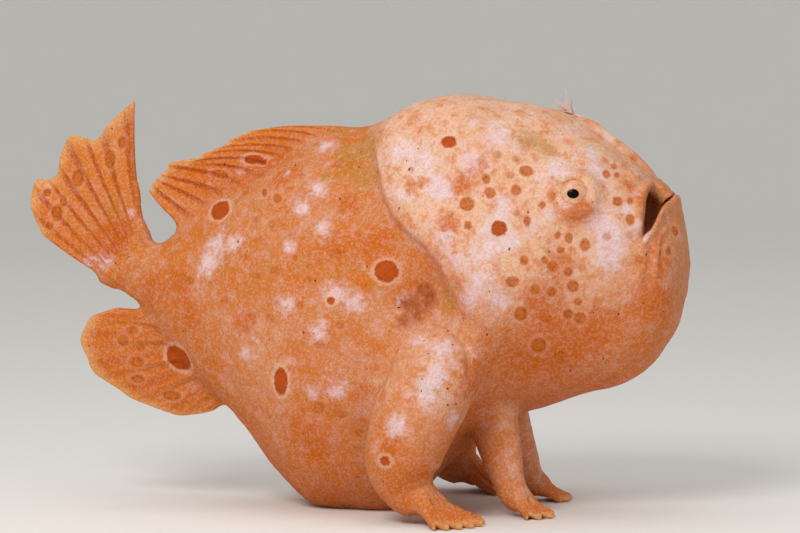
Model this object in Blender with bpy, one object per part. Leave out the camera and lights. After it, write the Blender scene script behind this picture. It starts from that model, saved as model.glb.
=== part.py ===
"""A life-size painted frogfish that rests on its belly, its arm-like pectoral fins and its pelvic fins.

The origin is the middle of the belly's flat on the floor, +Z is up and the fish faces +X.
Sizes in the tables are in millimetres and are turned into metres where a mesh is made.
"""

import math

import bmesh
import bpy
import numpy as np
from mathutils import Vector
from mathutils.bvhtree import BVHTree
from mathutils.geometry import tessellate_polygon

MM = 0.001
GAP = 0.3  # the space left between two nodes that touch
RIGHT, LEFT = -1, 1  # the sign of y on each side of the fish

# Each rib of the body from the tail to the chin: the back's x and z, the belly's x and z, the half width,
# how far up the rib is widest (0 to 1), and the fullness of its sides (2 is an ellipse).
RIBS = [
    (-39.6, 48.4, -47.0, 40.2, 1.5, 0.50, 2.2),
    (-38.9, 46.4, -43.2, 38.3, 2.6, 0.50, 2.1),
    (-36.2, 46.6, -39.2, 35.2, 4.2, 0.50, 2.0),
    (-31.2, 50.4, -34.2, 28.4, 7.0, 0.48, 2.0),
    (-25.0, 54.6, -28.0, 21.9, 10.2, 0.46, 2.0),
    (-18.0, 59.2, -20.9, 15.2, 13.6, 0.45, 2.1),
    (-11.5, 63.4, -14.4, 6.6, 16.6, 0.44, 2.1),
    (-4.8, 66.8, -7.8, 0.4, 19.0, 0.43, 2.1),
    (2.0, 68.0, 0.0, -1.1, 20.8, 0.44, 2.1),
    (9.0, 69.2, 9.0, -0.7, 21.8, 0.47, 2.1),
    (16.5, 70.4, 17.5, 8.5, 22.2, 0.50, 2.1),
    (25.0, 71.3, 26.0, 15.6, 21.8, 0.50, 2.1),
    (32.5, 72.0, 34.5, 18.7, 20.3, 0.50, 2.1),
    (38.5, 70.6, 42.5, 21.0, 18.4, 0.50, 2.1),
    (43.5, 67.5, 49.2, 22.8, 17.0, 0.53, 2.3),
    (48.0, 64.0, 54.0, 26.4, 15.8, 0.57, 2.4),
    (52.2, 60.8, 57.4, 31.6, 14.5, 0.60, 2.6),
    (54.6, 58.9, 58.9, 36.6, 12.8, 0.59, 2.8),
    (56.5, 57.1, 59.6, 41.0, 10.0, 0.56, 2.7),
    (58.1, 55.4, 59.9, 44.4, 6.8, 0.52, 2.4),
    (59.0, 52.4, 59.8, 47.0, 2.8, 0.50, 2.0),
]
BODY_STATIONS, BODY_AROUND = 48, 34

# Swellings and hollows of both flanks: x, y, z, radius and height.
SWELLS = [
    (17.0, 7.0, 67.5, 11.5, 4.6),  # the hump over the third dorsal spine
    (41.5, 15.5, 56.8, 5.5, 1.6),  # the mound of the eye
    (31.0, 21.0, 41.0, 12.0, 1.5),  # the cheek
    (15.0, 21.0, 38.4, 5.8, -3.4),  # the pit above the arm
    (0.5, 4.0, 69.0, 5.0, -0.9),  # the dip behind the hump
]
# The low ridge of the cheek's rear edge, and the groove behind it, as x and z from the back to the arm.
CHEEK_EDGE = [(4.6, 70.0), (6.4, 63.0), (8.8, 55.2), (11.8, 51.4), (18.8, 45.9), (21.8, 40.6), (23.2, 35.0)]
RIDGE_WIDTH, RIDGE_HEIGHT = 5.0, 1.0

# Where the whole body is parted, as x and z along each thin cut.
NECK_CUT = [(4.0, 85.0), *CHEEK_EDGE, (23.9, 26.0), (24.4, 16.0), (24.6, -5.0)]
HUMP_CUT = [
    (8.3, 54.7), (10.0, 54.8), (15.0, 55.7), (21.0, 58.0), (25.6, 61.8), (28.4, 66.0), (30.2, 71.5),
    (31.0, 85.0),
]
TAIL_CUT = [(-27.5, 62.0), (-33.5, 15.0)]
JAW_CUT = [(53.75, 50.1), (53.3, 48.0), (52.0, 42.0), (50.0, 32.0), (47.8, 22.0), (45.5, 8.0)]
BEYOND = 40.0  # a y outside the body
FAR = 200.0  # a distance that clears the whole fish
OVERLAP = 0.2  # how far cutters that meet run into each other
MERGE = 0.008  # the least distance between two corners of a finished solid

# The mouth is a steep slot over the lower jaw's rim, closed at its corners and widest at the front. The
# middle of the upper jaw comes furthest forward. Only a thin gap that arches up parts it from the rim.
JAW_RIM = [
    (53.2, 49.1), (53.9, 50.0), (54.6, 51.2), (55.3, 52.9), (56.0, 54.6), (56.6, 55.5), (57.6, 56.0),
    (66.0, 56.6),
]
MOUTH_SLOT = [*JAW_RIM, (66.0, 61.6), (56.4, 59.8), (54.8, 58.8), (53.9, 57.2), (53.6, 54.0)]
GAP_HALF_WIDTH = 5.0
GAP_ARCH, ARCH_FROM, ARCH_TO = 0.6, 50.0, 55.0  # the gap's rise, and the heights between which it comes in
MOUTH_HOLLOWS = [(50.4, -6.7, 53.6), (50.4, 6.7, 53.6)]  # one inside each corner of the mouth
MOUTH_HOLLOW_RADII = (5.6, 5.4, 4.4)
UPPER_LIP = [(53.2, 50.1), (53.0, 53.2), (53.1, 56.2), (53.6, 57.8), (54.4, 58.0)]
UPPER_LIP_FRONT = (55.2, 0.0, 56.9)
LOWER_LIP = [(54.0, 49.6), (54.8, 50.8), (55.5, 52.4), (56.1, 54.0)]
LOWER_LIP_FRONT = (57.2, 0.0, 55.5)
LIP_RADIUS = 1.0

EYE = (41.5, 56.8)  # x and z of each eye's centre
EYE_RADIUS = 3.0
EYE_STANDS_OUT = 1.4
EYE_FORWARD, EYE_UPWARD = 0.12, 0.28  # how far each eye turns forwards and up from facing sideways
EYE_RIM_RADIUS = 0.8
EYE_RIM_LIFT = 0.8  # how far the lid's ring lies outside the eye's centre
NOSTRILS = [(51.2, 60.2), (48.2, 62.2)]
NOSTRIL_RADIUS, NOSTRIL_WALL, NOSTRIL_SINK = 0.7, 0.4, 0.3

# The second dorsal spine lies back along the snout: x, z and radius. The lure lies beside it on the skin.
SPINE_PATH = [
    (53.4, 58.5, 1.2), (51.2, 60.7, 1.8), (47.7, 64.0, 1.5), (44.8, 66.5, 1.3), (42.2, 68.6, 1.1),
    (40.6, 69.8, 0.5),
]
LURE_PLAN = [(53.8, 2.6), (51.0, 3.6), (48.0, 4.2), (45.0, 4.4), (42.0, 4.4), (39.0, 4.2)]
LURE_LIFTS = [-0.4, 0.75, 0.75, 0.75, 0.75, 0.8]
LURE_RADIUS = 0.36
LURE_FILAMENTS, FILAMENT_LENGTH, FILAMENT_RADIUS = 5, 3.0, 0.42
FILAMENT_SPREAD, FILAMENT_RISE = math.radians(70.0), 0.35

# Each fin's roots, which lie in the body, and its outer edge, as x, y and z from the first ray to the last.
DORSAL_ROOTS = [(4.0, 0.0, 65.5), (-12.0, 0.0, 59.5), (-29.0, 0.0, 48.5)]
DORSAL_BENDS = [(-5.0, 0.0, 70.0), (-21.0, 0.6, 64.0), (-35.6, 0.0, 52.2)]
DORSAL_EDGE = [
    (-17.0, 0.8, 68.0), (-21.2, 1.0, 67.2), (-25.7, 0.2, 64.5), (-28.6, -0.4, 63.2), (-31.0, -0.8, 61.9),
    (-34.4, 0.0, 61.8), (-36.4, 0.4, 59.4), (-37.6, 0.5, 58.6), (-38.3, 0.4, 56.6),
]
DORSAL_RAYS, DORSAL_NOTCH, DORSAL_THICK = 12, 0.035, (4.2, 0.8)  # how thick at the root and at the tips
ANAL_ROOTS = [(-20.5, 0.0, 21.0), (-28.0, 0.0, 27.4), (-36.0, 0.0, 34.6)]
ANAL_EDGE = [
    (-26.5, 0.0, 16.7), (-29.9, 0.3, 15.8), (-33.7, 0.6, 15.7), (-38.7, 0.6, 17.1), (-43.5, 0.3, 19.5),
    (-47.2, 0.0, 21.8), (-49.9, -0.4, 24.8), (-51.0, -0.7, 28.0), (-51.1, -0.6, 31.0), (-49.6, -0.3, 33.3),
    (-47.4, 0.0, 34.5), (-44.4, 0.0, 35.3),
]
ANAL_RAYS, ANAL_NOTCH, ANAL_THICK = 7, 0.02, (4.4, 0.8)
CAUDAL_ROOTS = [(-38.0, 0.0, 46.2), (-41.4, 0.0, 43.0), (-45.2, 0.0, 40.0)]
CAUDAL_BENDS = [
    (-42.2, 1.4, 57.0), (-46.0, 2.0, 56.0), (-49.4, 2.2, 53.0), (-52.2, 1.4, 48.0), (-52.4, 0.6, 43.6),
]
CAUDAL_EDGE = [
    (-41.5, 2.4, 73.2), (-44.1, 2.9, 71.7), (-46.5, 3.3, 69.2), (-48.6, 3.5, 66.8), (-50.0, 3.6, 65.9),
    (-51.7, 3.7, 66.7), (-53.5, 3.8, 66.9), (-55.2, 3.8, 65.8), (-56.0, 3.8, 63.6), (-56.4, 3.6, 61.1),
    (-57.2, 3.4, 59.2), (-58.1, 3.3, 58.7), (-59.6, 3.1, 59.0), (-60.9, 2.8, 57.9), (-61.5, 2.4, 56.1),
    (-61.2, 1.8, 53.5), (-60.2, 1.2, 50.8), (-58.6, 0.8, 48.4),
]
CAUDAL_RAYS, CAUDAL_NOTCH, CAUDAL_THICK = 9, 0.015, (4.4, 0.9)
WEB_SHARE, WEB_LEAST = 0.55, 0.5  # the membrane's thickness, as a share of the rays' and at the least

# The right arm: x, y, z and radius along it. The left arm is its mirror image.
ARM_PATH = [
    (20.0, -8.5, 30.0, 6.6), (19.6, -14.5, 29.0, 7.8), (18.0, -19.6, 25.6, 8.0), (15.6, -22.6, 20.0, 7.6),
    (13.6, -24.0, 14.2, 7.0), (12.8, -24.2, 9.2, 6.1), (13.8, -24.4, 5.6, 4.3), (15.8, -24.7, 3.6, 2.8),
]
WRIST, HAND_HEIGHT, HAND_THICK = (14.6, -24.0, 0.0), 5.0, (4.2, 1.4)
HAND_RAYS, HAND_LENGTH, HAND_FAN = 9, 13.0, (-40.0, 62.0)  # the fan's first and last angle, from +x outwards
LEG_PATH = [
    (25.0, -6.0, 20.0, 4.8), (27.2, -8.4, 12.8, 4.0), (28.8, -10.2, 7.8, 3.2), (30.0, -11.2, 4.6, 2.5),
    (31.6, -12.0, 2.8, 1.8),
]
ANKLE, FOOT_HEIGHT, FOOT_THICK = (29.6, -11.0, 0.0), 3.8, (3.2, 1.3)
FOOT_RAYS, FOOT_LENGTH, FOOT_FAN = 5, 8.6, (-22.0, 58.0)
TOE_SPREAD, TOE_NOTCH = 1.0, 0.2  # how far from the joint each toe is rooted, and the notch between two
TOE_BEND, TOE_BEND_HEIGHT = 0.55, 1.3  # where each toe bends, as a share of its length, and at what height
TOE_TIP_HEIGHT, OUTER_TOES_SHORTER = 0.35, 0.12

MATERIALS = {
    # name: colour, roughness
    "skin": ((0.62, 0.24, 0.10), 0.6),
    "fin_skin": ((0.66, 0.22, 0.05), 0.55),
    "eye": ((0.55, 0.22, 0.08), 0.15),
    "lure": ((0.72, 0.42, 0.28), 0.5),
}


def material(name):
    """The named skin colour, made once."""
    if name in bpy.data.materials:
        return bpy.data.materials[name]
    colour, roughness = MATERIALS[name]
    made = bpy.data.materials.new(name)
    made.use_nodes = True
    shader = made.node_tree.nodes["Principled BSDF"]
    shader.inputs["Base Color"].default_value = (*colour, 1.0)
    shader.inputs["Roughness"].default_value = roughness
    shader.inputs["Metallic"].default_value = 0.0
    return made


def mesh_object(name, points, faces, finish="skin"):
    """A mesh object from points in millimetres, with its faces turned outwards."""
    mesh = bpy.data.meshes.new(name)
    mesh.from_pydata([tuple(np.asarray(p) * MM) for p in points], [], [tuple(f) for f in faces])
    shape = bmesh.new()
    shape.from_mesh(mesh)
    bmesh.ops.recalc_face_normals(shape, faces=shape.faces)
    shape.to_mesh(mesh)
    shape.free()
    mesh.materials.append(material(finish))
    made = bpy.data.objects.new(name, mesh)
    bpy.context.scene.collection.objects.link(made)
    return made


def smooth_rows(rows, count):
    """Evenly spaced rows on a smooth curve through the given rows."""
    rows = np.asarray(rows, float)
    padded = np.vstack([2 * rows[0] - rows[1], rows, 2 * rows[-1] - rows[-2]])
    at = np.linspace(0, len(rows) - 1, count)
    first = np.minimum(at.astype(int), len(rows) - 2)
    t = (at - first)[:, None]
    a, b, c, d = (padded[first + k] for k in range(4))
    return 0.5 * (2 * b + (c - a) * t + (2 * a - 5 * b + 4 * c - d) * t**2 + (3 * b - a - 3 * c + d) * t**3)


def ring_faces(rings, around):
    """Triangles between the rings of a loft, and a fan over each end that meets in one more point."""
    faces = []
    for i in range(rings - 1):
        for j in range(around):
            k = (j + 1) % around
            faces.append((i * around + j, i * around + k, (i + 1) * around + k))
            faces.append((i * around + j, (i + 1) * around + k, (i + 1) * around + j))
    first_end, last_end, last_ring = rings * around, rings * around + 1, (rings - 1) * around
    for j in range(around):
        k = (j + 1) % around
        faces.append((first_end, k, j))
        faces.append((last_end, last_ring + j, last_ring + k))
    return faces


def loft(name, grid, finish="skin"):
    """A closed solid through rings of points, given as an array of ring, point and axis."""
    rings, around = grid.shape[:2]
    points = [*grid.reshape(-1, 3), grid[0].mean(0), grid[-1].mean(0)]
    return mesh_object(name, points, ring_faces(rings, around), finish)


def distance_to_line(x, z, corners):
    """The side-view distance from each point to a line of corners, and on which side of it the point is."""
    nearest = np.full(x.shape, np.inf)
    side = np.zeros(x.shape)
    for (ax, az), (bx, bz) in zip(corners[:-1], corners[1:]):
        dx, dz = bx - ax, bz - az
        t = np.clip(((x - ax) * dx + (z - az) * dz) / (dx * dx + dz * dz), 0, 1)
        away = np.hypot(x - ax - t * dx, z - az - t * dz)
        turn = np.sign(dx * (z - az) - dz * (x - ax))
        side = np.where(away < nearest, turn, side)
        nearest = np.minimum(nearest, away)
    return nearest, side


def swelling(points):
    """How far the skin stands out at each point, for the hump, cheek, eye mound, pit and cheek edge."""
    x, y, z = points[..., 0], np.abs(points[..., 1]), points[..., 2]
    height = np.zeros(x.shape)
    for sx, sy, sz, radius, rise in SWELLS:
        squared = (x - sx) ** 2 + (y - sy) ** 2 + (z - sz) ** 2
        height += rise * np.exp(-squared / radius**2)
    away, side = distance_to_line(x, z, CHEEK_EDGE)
    offset = away * side
    high_up = np.clip((y - 3.0) / 6.0, 0, 1)
    height += RIDGE_HEIGHT * high_up * (offset / RIDGE_WIDTH) * np.exp(1 - (offset / RIDGE_WIDTH) ** 2)
    return height


def grid_normals(grid):
    """Outward directions at the points of a loft's rings."""
    along = np.gradient(grid, axis=0)
    around = np.roll(grid, -1, axis=1) - np.roll(grid, 1, axis=1)
    normal = np.cross(around, along)
    normal /= np.maximum(np.linalg.norm(normal, axis=2, keepdims=True), 1e-9)
    outward = grid - grid.mean(axis=1, keepdims=True)
    return normal * np.sign((normal * outward).sum((1, 2), keepdims=True))


def lengthened(grid, grow):
    """Rings whose first and last have moved outwards along the loft by so many millimetres."""
    longer = grid.copy()
    for end, next_to_end in ((0, 1), (-1, -2)):
        heading = grid[end].mean(0) - grid[next_to_end].mean(0)
        longer[end] += heading / np.linalg.norm(heading) * grow
    return longer


def body_grid(grow=0.0):
    """The body's rings, with the flanks' swellings, and grown by so many millimetres."""
    rows = smooth_rows(RIBS, BODY_STATIONS)
    angle = np.linspace(0, 2 * math.pi, BODY_AROUND, endpoint=False)
    grid = np.zeros((BODY_STATIONS, BODY_AROUND, 3))
    for i, (top_x, top_z, low_x, low_z, half_width, widest, fullness) in enumerate(rows):
        power = 2 / fullness
        side = np.sign(np.cos(angle)) * np.abs(np.cos(angle)) ** power
        rise = np.sign(np.sin(angle)) * np.abs(np.sin(angle)) ** power
        share = np.where(rise > 0, widest + (1 - widest) * rise, widest * (1 + rise))
        grid[i, :, 0] = low_x + (top_x - low_x) * share
        grid[i, :, 1] = half_width * side
        grid[i, :, 2] = low_z + (top_z - low_z) * share
    normal = grid_normals(grid)
    return lengthened(grid + normal * (swelling(grid)[..., None] + grow), grow)


def body(name, grow=0.0):
    return loft(name, body_grid(grow))


def tube_grid(path, around=14, grow=0.0, count=None):
    """Rings along a path of x, y, z and radius, each square to the path."""
    rows = smooth_rows(path, count or 2 * len(path) - 1)
    heading = np.gradient(rows[:, :3], axis=0)
    heading /= np.linalg.norm(heading, axis=1, keepdims=True)
    angle = np.linspace(0, 2 * math.pi, around, endpoint=False)
    across = np.cross(heading[0], (0.0, 0.0, 1.0))
    if np.linalg.norm(across) < 0.2:
        across = np.cross(heading[0], (1.0, 0.0, 0.0))
    grid = np.zeros((len(rows), around, 3))
    for i, row in enumerate(rows):
        across = across - heading[i] * (across @ heading[i])
        across /= np.linalg.norm(across)
        up = np.cross(heading[i], across)
        ring = np.outer(np.cos(angle), across) + np.outer(np.sin(angle), up)
        grid[i] = row[:3] + (row[3] + grow) * ring
    return lengthened(grid, grow)


def tube(name, path, around=14, grow=0.0, count=None, finish="skin"):
    return loft(name, tube_grid(path, around, grow, count), finish)


def ball(name, centre, radii, segments=16, rings=10, finish="skin"):
    """A sphere stretched to three radii."""
    shape = bmesh.new()
    bmesh.ops.create_uvsphere(shape, u_segments=segments, v_segments=rings, radius=1.0)
    points = [[centre[k] + vertex.co[k] * radii[k] for k in range(3)] for vertex in shape.verts]
    faces = [[v.index for v in face.verts] for face in shape.faces]
    shape.free()
    return mesh_object(name, points, faces, finish)


def prism(name, corners, near, far, arch=0.0):
    """The solid between two values of y with a side-view outline of x and z, whose middle arches up."""
    points, faces = [], []
    count, slices = len(corners), 7 if arch else 2
    for share in np.linspace(-1, 1, slices):
        y = (near + far) / 2 + (far - near) / 2 * share
        for x, z in corners:
            comes_in = min(max((z - ARCH_FROM) / (ARCH_TO - ARCH_FROM), 0), 1)
            points.append((x, y, z + arch * (1 - share**2) * comes_in))
    for s in range(slices - 1):
        for i in range(count):
            a, b = s * count + i, s * count + (i + 1) % count
            faces += [(a, a + count, b + count), (a, b + count, b)]
    end = (slices - 1) * count
    for a, b, c in tessellate_polygon([[Vector((x, 0.0, z)) for x, z in corners]]):
        faces += [(a, b, c), (end + a, end + c, end + b)]
    return mesh_object(name, points, faces)


def ribbon(name, corners, thickness, half_width=BEYOND, arch=0.0):
    """A thin sheet along a line of the side view, for parting the body."""
    line = np.asarray(corners, float)
    heading = np.gradient(line, axis=0)
    heading /= np.linalg.norm(heading, axis=1, keepdims=True)
    beside = np.stack([-heading[:, 1], heading[:, 0]], axis=1) * thickness / 2
    outline = [*(line + beside), *(line - beside)[::-1]]
    return prism(name, outline, -half_width, half_width, arch)


def fin_grid(roots, tips, rays, rows, per_ray, mid, notch):
    """Points of a fin's middle sheet. Each ray is a curve from its root by way of mid to its tip."""
    columns = (rays - 1) * per_ray + 1
    root, bend, tip = (smooth_rows(ends, columns) for ends in (roots, mid, tips))
    across = np.arange(columns) / per_ray
    reach = 1 - notch * np.sin(math.pi * across) ** 2
    t = np.linspace(0, 1, rows)[:, None, None] * reach[None, :, None]
    return (1 - t) ** 2 * root + 2 * t * (1 - t) * bend + t**2 * tip


def fin(name, roots, tips, rays, mid, rows, notch, thick, per_ray=4):
    """A fin's closed solid: a membrane, and thicker rays that stand out of both its faces."""
    sheet = fin_grid(roots, tips, rays, rows, per_ray, mid, notch)
    columns = sheet.shape[1]
    normal = np.cross(np.gradient(sheet, axis=0), np.gradient(sheet, axis=1))
    normal /= np.linalg.norm(normal, axis=2, keepdims=True)
    ridge = np.clip(np.cos(2 * math.pi * np.arange(columns) / per_ray), 0, 1)
    taper = np.linspace(thick[0], thick[1], rows)
    share = WEB_SHARE + (1 - WEB_SHARE) * ridge
    half = 0.5 * np.maximum(np.outer(taper, share), WEB_LEAST)[..., None]
    points = [*(sheet + normal * half).reshape(-1, 3), *(sheet - normal * half).reshape(-1, 3)]
    back = rows * columns
    faces = []
    for i in range(rows - 1):
        for j in range(columns - 1):
            a, b = i * columns + j, i * columns + j + 1
            c, d = b + columns, a + columns
            faces += [(a, b, c), (a, c, d)]
            faces += [(back + a, back + c, back + b), (back + a, back + d, back + c)]
    top_row, last = (rows - 1) * columns, columns - 1
    rim = [*range(columns)]
    rim += [i * columns + last for i in range(1, rows)]
    rim += [top_row + j for j in range(last - 1, -1, -1)]
    rim += [i * columns for i in range(rows - 2, 0, -1)]
    for a, b in zip(rim, rim[1:] + rim[:1]):
        faces += [(a, back + a, b), (b, back + a, back + b)]
    return mesh_object(name, points, faces, "fin_skin")


def apply_modifiers(target):
    """Makes what the modifiers give the object's own mesh."""
    graph = bpy.context.evaluated_depsgraph_get()
    mesh = bpy.data.meshes.new_from_object(target.evaluated_get(graph))
    target.modifiers.clear()
    target.data = mesh


def boolean(target, pieces, operation):
    """Joins the pieces to the target, or cuts them away, and removes them."""
    group = bpy.data.collections.new("pieces")
    bpy.context.scene.collection.children.link(group)
    for piece in pieces:
        group.objects.link(piece)
    modifier = target.modifiers.new("boolean", "BOOLEAN")
    modifier.operation = operation
    modifier.operand_type = "COLLECTION"
    modifier.collection = group
    modifier.solver = "EXACT"
    apply_modifiers(target)
    for piece in pieces:
        bpy.data.objects.remove(piece)
    bpy.data.collections.remove(group)
    return target


def islands(shape):
    """The connected groups of faces of a bmesh, each with the volume that it holds."""
    found, seen = [], set()
    for start in shape.faces:
        if start in seen:
            continue
        seen.add(start)
        group, waiting = [], [start]
        while waiting:
            face = waiting.pop()
            group.append(face)
            for edge in face.edges:
                for near in edge.link_faces:
                    if near not in seen:
                        seen.add(near)
                        waiting.append(near)
        volume = 0.0
        for face in group:
            corners = [v.co for v in face.verts]
            for b, c in zip(corners[1:-1], corners[2:]):
                volume += corners[0].dot(b.cross(c)) / 6
        found.append((volume, group))
    return found


def keep_largest(target):
    """Drops every closed surface but the one that holds the most."""
    shape = bmesh.new()
    shape.from_mesh(target.data)
    groups = sorted(islands(shape), key=lambda found: found[0])
    loose = [face for _, group in groups[:-1] for face in group]
    bmesh.ops.delete(shape, geom=loose, context="FACES")
    bmesh.ops.remove_doubles(shape, verts=shape.verts, dist=MERGE * MM)
    shape.to_mesh(target.data)
    shape.free()
    return target


def split_into(target, places):
    """Parts an object that cuts have left in pieces. Each takes the name whose place is nearest to it."""
    shape = bmesh.new()
    shape.from_mesh(target.data)
    bmesh.ops.triangulate(shape, faces=shape.faces)
    bmesh.ops.remove_doubles(shape, verts=shape.verts, dist=MERGE * MM)
    groups = sorted(islands(shape), key=lambda found: -found[0])[: len(places)]
    made = {}
    for _, group in groups:
        vertices = sorted({v for face in group for v in face.verts}, key=lambda v: v.index)
        number = {v: i for i, v in enumerate(vertices)}
        points = np.array([v.co for v in vertices]) / MM
        faces = [[number[v] for v in face.verts] for face in group]
        middle = (points.min(0) + points.max(0)) / 2
        name = min(places, key=lambda key: math.dist(places[key], (middle[0], middle[2])))
        made[name] = mesh_object(name, points, faces)
    shape.free()
    bpy.data.objects.remove(target)
    return made


def floor_block():
    """All that lies under the floor."""
    return prism("floor", [(-FAR, -FAR), (FAR, -FAR), (FAR, 0.0), (-FAR, 0.0)], -FAR, FAR)


def skin_tree(grid):
    """The body's skin as a tree that rays can be cast on."""
    rings, around = grid.shape[:2]
    triangles = ring_faces(rings, around)[: 2 * (rings - 1) * around]
    return BVHTree.FromPolygons(grid.reshape(-1, 3).tolist(), triangles)


def skin_y(x, z, tree):
    """The half width of the body at x and z."""
    hit = tree.ray_cast((x, FAR, z), (0.0, -1.0, 0.0))[0]
    return hit.y


def skin_z(x, y, tree):
    """The height of the back over x and y."""
    hit = tree.ray_cast((x, y, FAR), (0.0, 0.0, -1.0))[0]
    return hit.z


def skin_spot(x, z, side, tree):
    """The point of one flank at x and z, and the outward direction there."""
    hit, normal = tree.ray_cast((x, FAR * side, z), (0.0, -1.0 * side, 0.0))[:2]
    return np.array(hit), np.array(normal) * (1 if normal.y * side > 0 else -1)


def lip(name, line, front, tree):
    """A rounded lip from one corner of the mouth to the other, by way of its front point."""
    side = [(x, skin_y(x, z, tree) - 0.4 * LIP_RADIUS, z) for x, z in line]
    path = [(x, -y, z) for x, y, z in side] + [front] + [(x, y, z) for x, y, z in side[::-1]]
    corner, middle = 0.6, 1.0
    sizes = [corner] + [middle] * (len(path) - 2) + [corner]
    rows = [(*point, LIP_RADIUS * size) for point, size in zip(path, sizes)]
    return tube(name, rows, around=8, count=21)


def ring_round(name, centre, outward, ring_radius, wire_radius, segments=18, around=6):
    """A ring of round section lying square to the outward direction."""
    outward = np.asarray(outward, float)
    outward /= np.linalg.norm(outward)
    across = np.cross(outward, (0.0, 0.0, 1.0))
    across /= np.linalg.norm(across)
    up = np.cross(outward, across)
    points, faces = [], []
    for i in range(segments):
        turn = 2 * math.pi * i / segments
        spoke = math.cos(turn) * across + math.sin(turn) * up
        for j in range(around):
            tilt = 2 * math.pi * j / around
            away = spoke * math.cos(tilt) + outward * math.sin(tilt)
            points.append(np.asarray(centre) + spoke * ring_radius + away * wire_radius)
    for i in range(segments):
        for j in range(around):
            k, m = (i + 1) % segments, (j + 1) % around
            faces.append((i * around + j, i * around + m, k * around + m, k * around + j))
    return mesh_object(name, points, faces)


def eye_centre(side, tree):
    """The middle of an eyeball, sunk so that it stands out of the skin by the stated height."""
    x, z = EYE
    return (x, side * (skin_y(x, z, tree) + EYE_STANDS_OUT - EYE_RADIUS), z)


def body_nodes(tree):
    """The head, jaw, hump, torso and tail stem, from one body parted by thin cuts."""
    whole = body("whole_body")
    added = [
        lip("upper_lip", UPPER_LIP, UPPER_LIP_FRONT, tree),
        lip("lower_lip", LOWER_LIP, LOWER_LIP_FRONT, tree),
    ]
    for side in (RIGHT, LEFT):
        centre = np.array(eye_centre(side, tree))
        outward = np.array((EYE_FORWARD, side, EYE_UPWARD))
        rim = centre + outward / np.linalg.norm(outward) * EYE_RIM_LIFT
        added.append(ring_round("eye_rim", rim, outward, EYE_RADIUS, EYE_RIM_RADIUS))
        for x, z in NOSTRILS:
            spot, away = skin_spot(x, z, side, tree)
            radii = (NOSTRIL_RADIUS + NOSTRIL_WALL,) * 3
            added.append(ball("nostril", spot - NOSTRIL_SINK * away, radii, segments=8, rings=6))
    boolean(whole, added, "UNION")
    cutters = [
        prism("mouth_slot_right", MOUTH_SLOT, -BEYOND, -GAP_HALF_WIDTH),
        prism("mouth_slot_left", MOUTH_SLOT, GAP_HALF_WIDTH, BEYOND),
        ribbon("mouth_gap", JAW_RIM, GAP, GAP_HALF_WIDTH + OVERLAP, GAP_ARCH),
        *(ball("mouth_hollow", centre, MOUTH_HOLLOW_RADII) for centre in MOUTH_HOLLOWS),
        ribbon("neck", NECK_CUT, GAP),
        ribbon("under_hump", HUMP_CUT, GAP),
        ribbon("tail_stem", TAIL_CUT, GAP),
        ribbon("jaw_hinge", JAW_CUT, GAP),
        floor_block(),
    ]
    for side in (RIGHT, LEFT):
        cutters.append(ball("socket", eye_centre(side, tree), (EYE_RADIUS + GAP,) * 3))
        for x, z in NOSTRILS:
            spot, away = skin_spot(x, z, side, tree)
            radii = (NOSTRIL_RADIUS,) * 3
            cutters.append(ball("nostril_pit", spot + NOSTRIL_RADIUS * away, radii, segments=8, rings=6))
    boolean(whole, cutters, "DIFFERENCE")
    places = {
        "head": (32.0, 43.0),
        "lower_jaw": (53.5, 37.0),
        "third_dorsal_hump": (16.0, 66.0),
        "torso": (-5.0, 34.0),
        "tail_stem": (-38.0, 39.0),
    }
    return split_into(whole, places)


def set_on_body(piece, others=()):
    """Cuts the piece back from the body by the gap, and from other neighbours, and keeps the main part."""
    for cutter in (body("body_with_gap", grow=GAP), *others):
        boolean(piece, [cutter], "DIFFERENCE")
    return keep_largest(piece)


def fan_of_toes(name, joint, toes, length, fan, side, height, thick):
    """A hand or foot: webbed toes that leave a joint, arch down and lie on the floor."""
    angles = np.radians(np.linspace(fan[0], fan[1], toes))
    reaches = length * (1 - OUTER_TOES_SHORTER * np.abs(np.linspace(-1, 1, toes)))
    start = np.array((joint[0], side * abs(joint[1]), 0.0))
    roots, bends, tips = [], [], []
    for angle, reach in zip(angles, reaches):
        heading = np.array((math.cos(angle), side * math.sin(angle), 0.0))
        roots.append(start + heading * TOE_SPREAD + (0, 0, height))
        bends.append(start + heading * reach * TOE_BEND + (0, 0, TOE_BEND_HEIGHT))
        tips.append(start + heading * reach + (0, 0, TOE_TIP_HEIGHT))
    return fin(name, roots, tips, toes, bends, rows=7, notch=TOE_NOTCH, thick=thick, per_ray=2)


def mirrored(path, side):
    """The path given for the right side, on the side that is asked for."""
    return [(x, side * abs(y), z, radius) for x, y, z, radius in path]


def arm_nodes(side, word):
    arm = tube("pectoral_arm_" + word, mirrored(ARM_PATH, side), around=14)
    set_on_body(arm)
    name = "pectoral_hand_" + word
    hand = fan_of_toes(name, WRIST, HAND_RAYS, HAND_LENGTH, HAND_FAN, side, HAND_HEIGHT, HAND_THICK)
    for cutter in (tube("arm_with_gap", mirrored(ARM_PATH, side), around=14, grow=GAP), floor_block()):
        boolean(hand, [cutter], "DIFFERENCE")
    keep_largest(hand)


def pelvic_node(side, word):
    leg = tube("pelvic_fin_" + word, mirrored(LEG_PATH, side), around=12, finish="fin_skin")
    foot = fan_of_toes("foot", ANKLE, FOOT_RAYS, FOOT_LENGTH, FOOT_FAN, side, FOOT_HEIGHT, FOOT_THICK)
    boolean(leg, [foot], "UNION")
    set_on_body(leg, [floor_block()])


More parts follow.
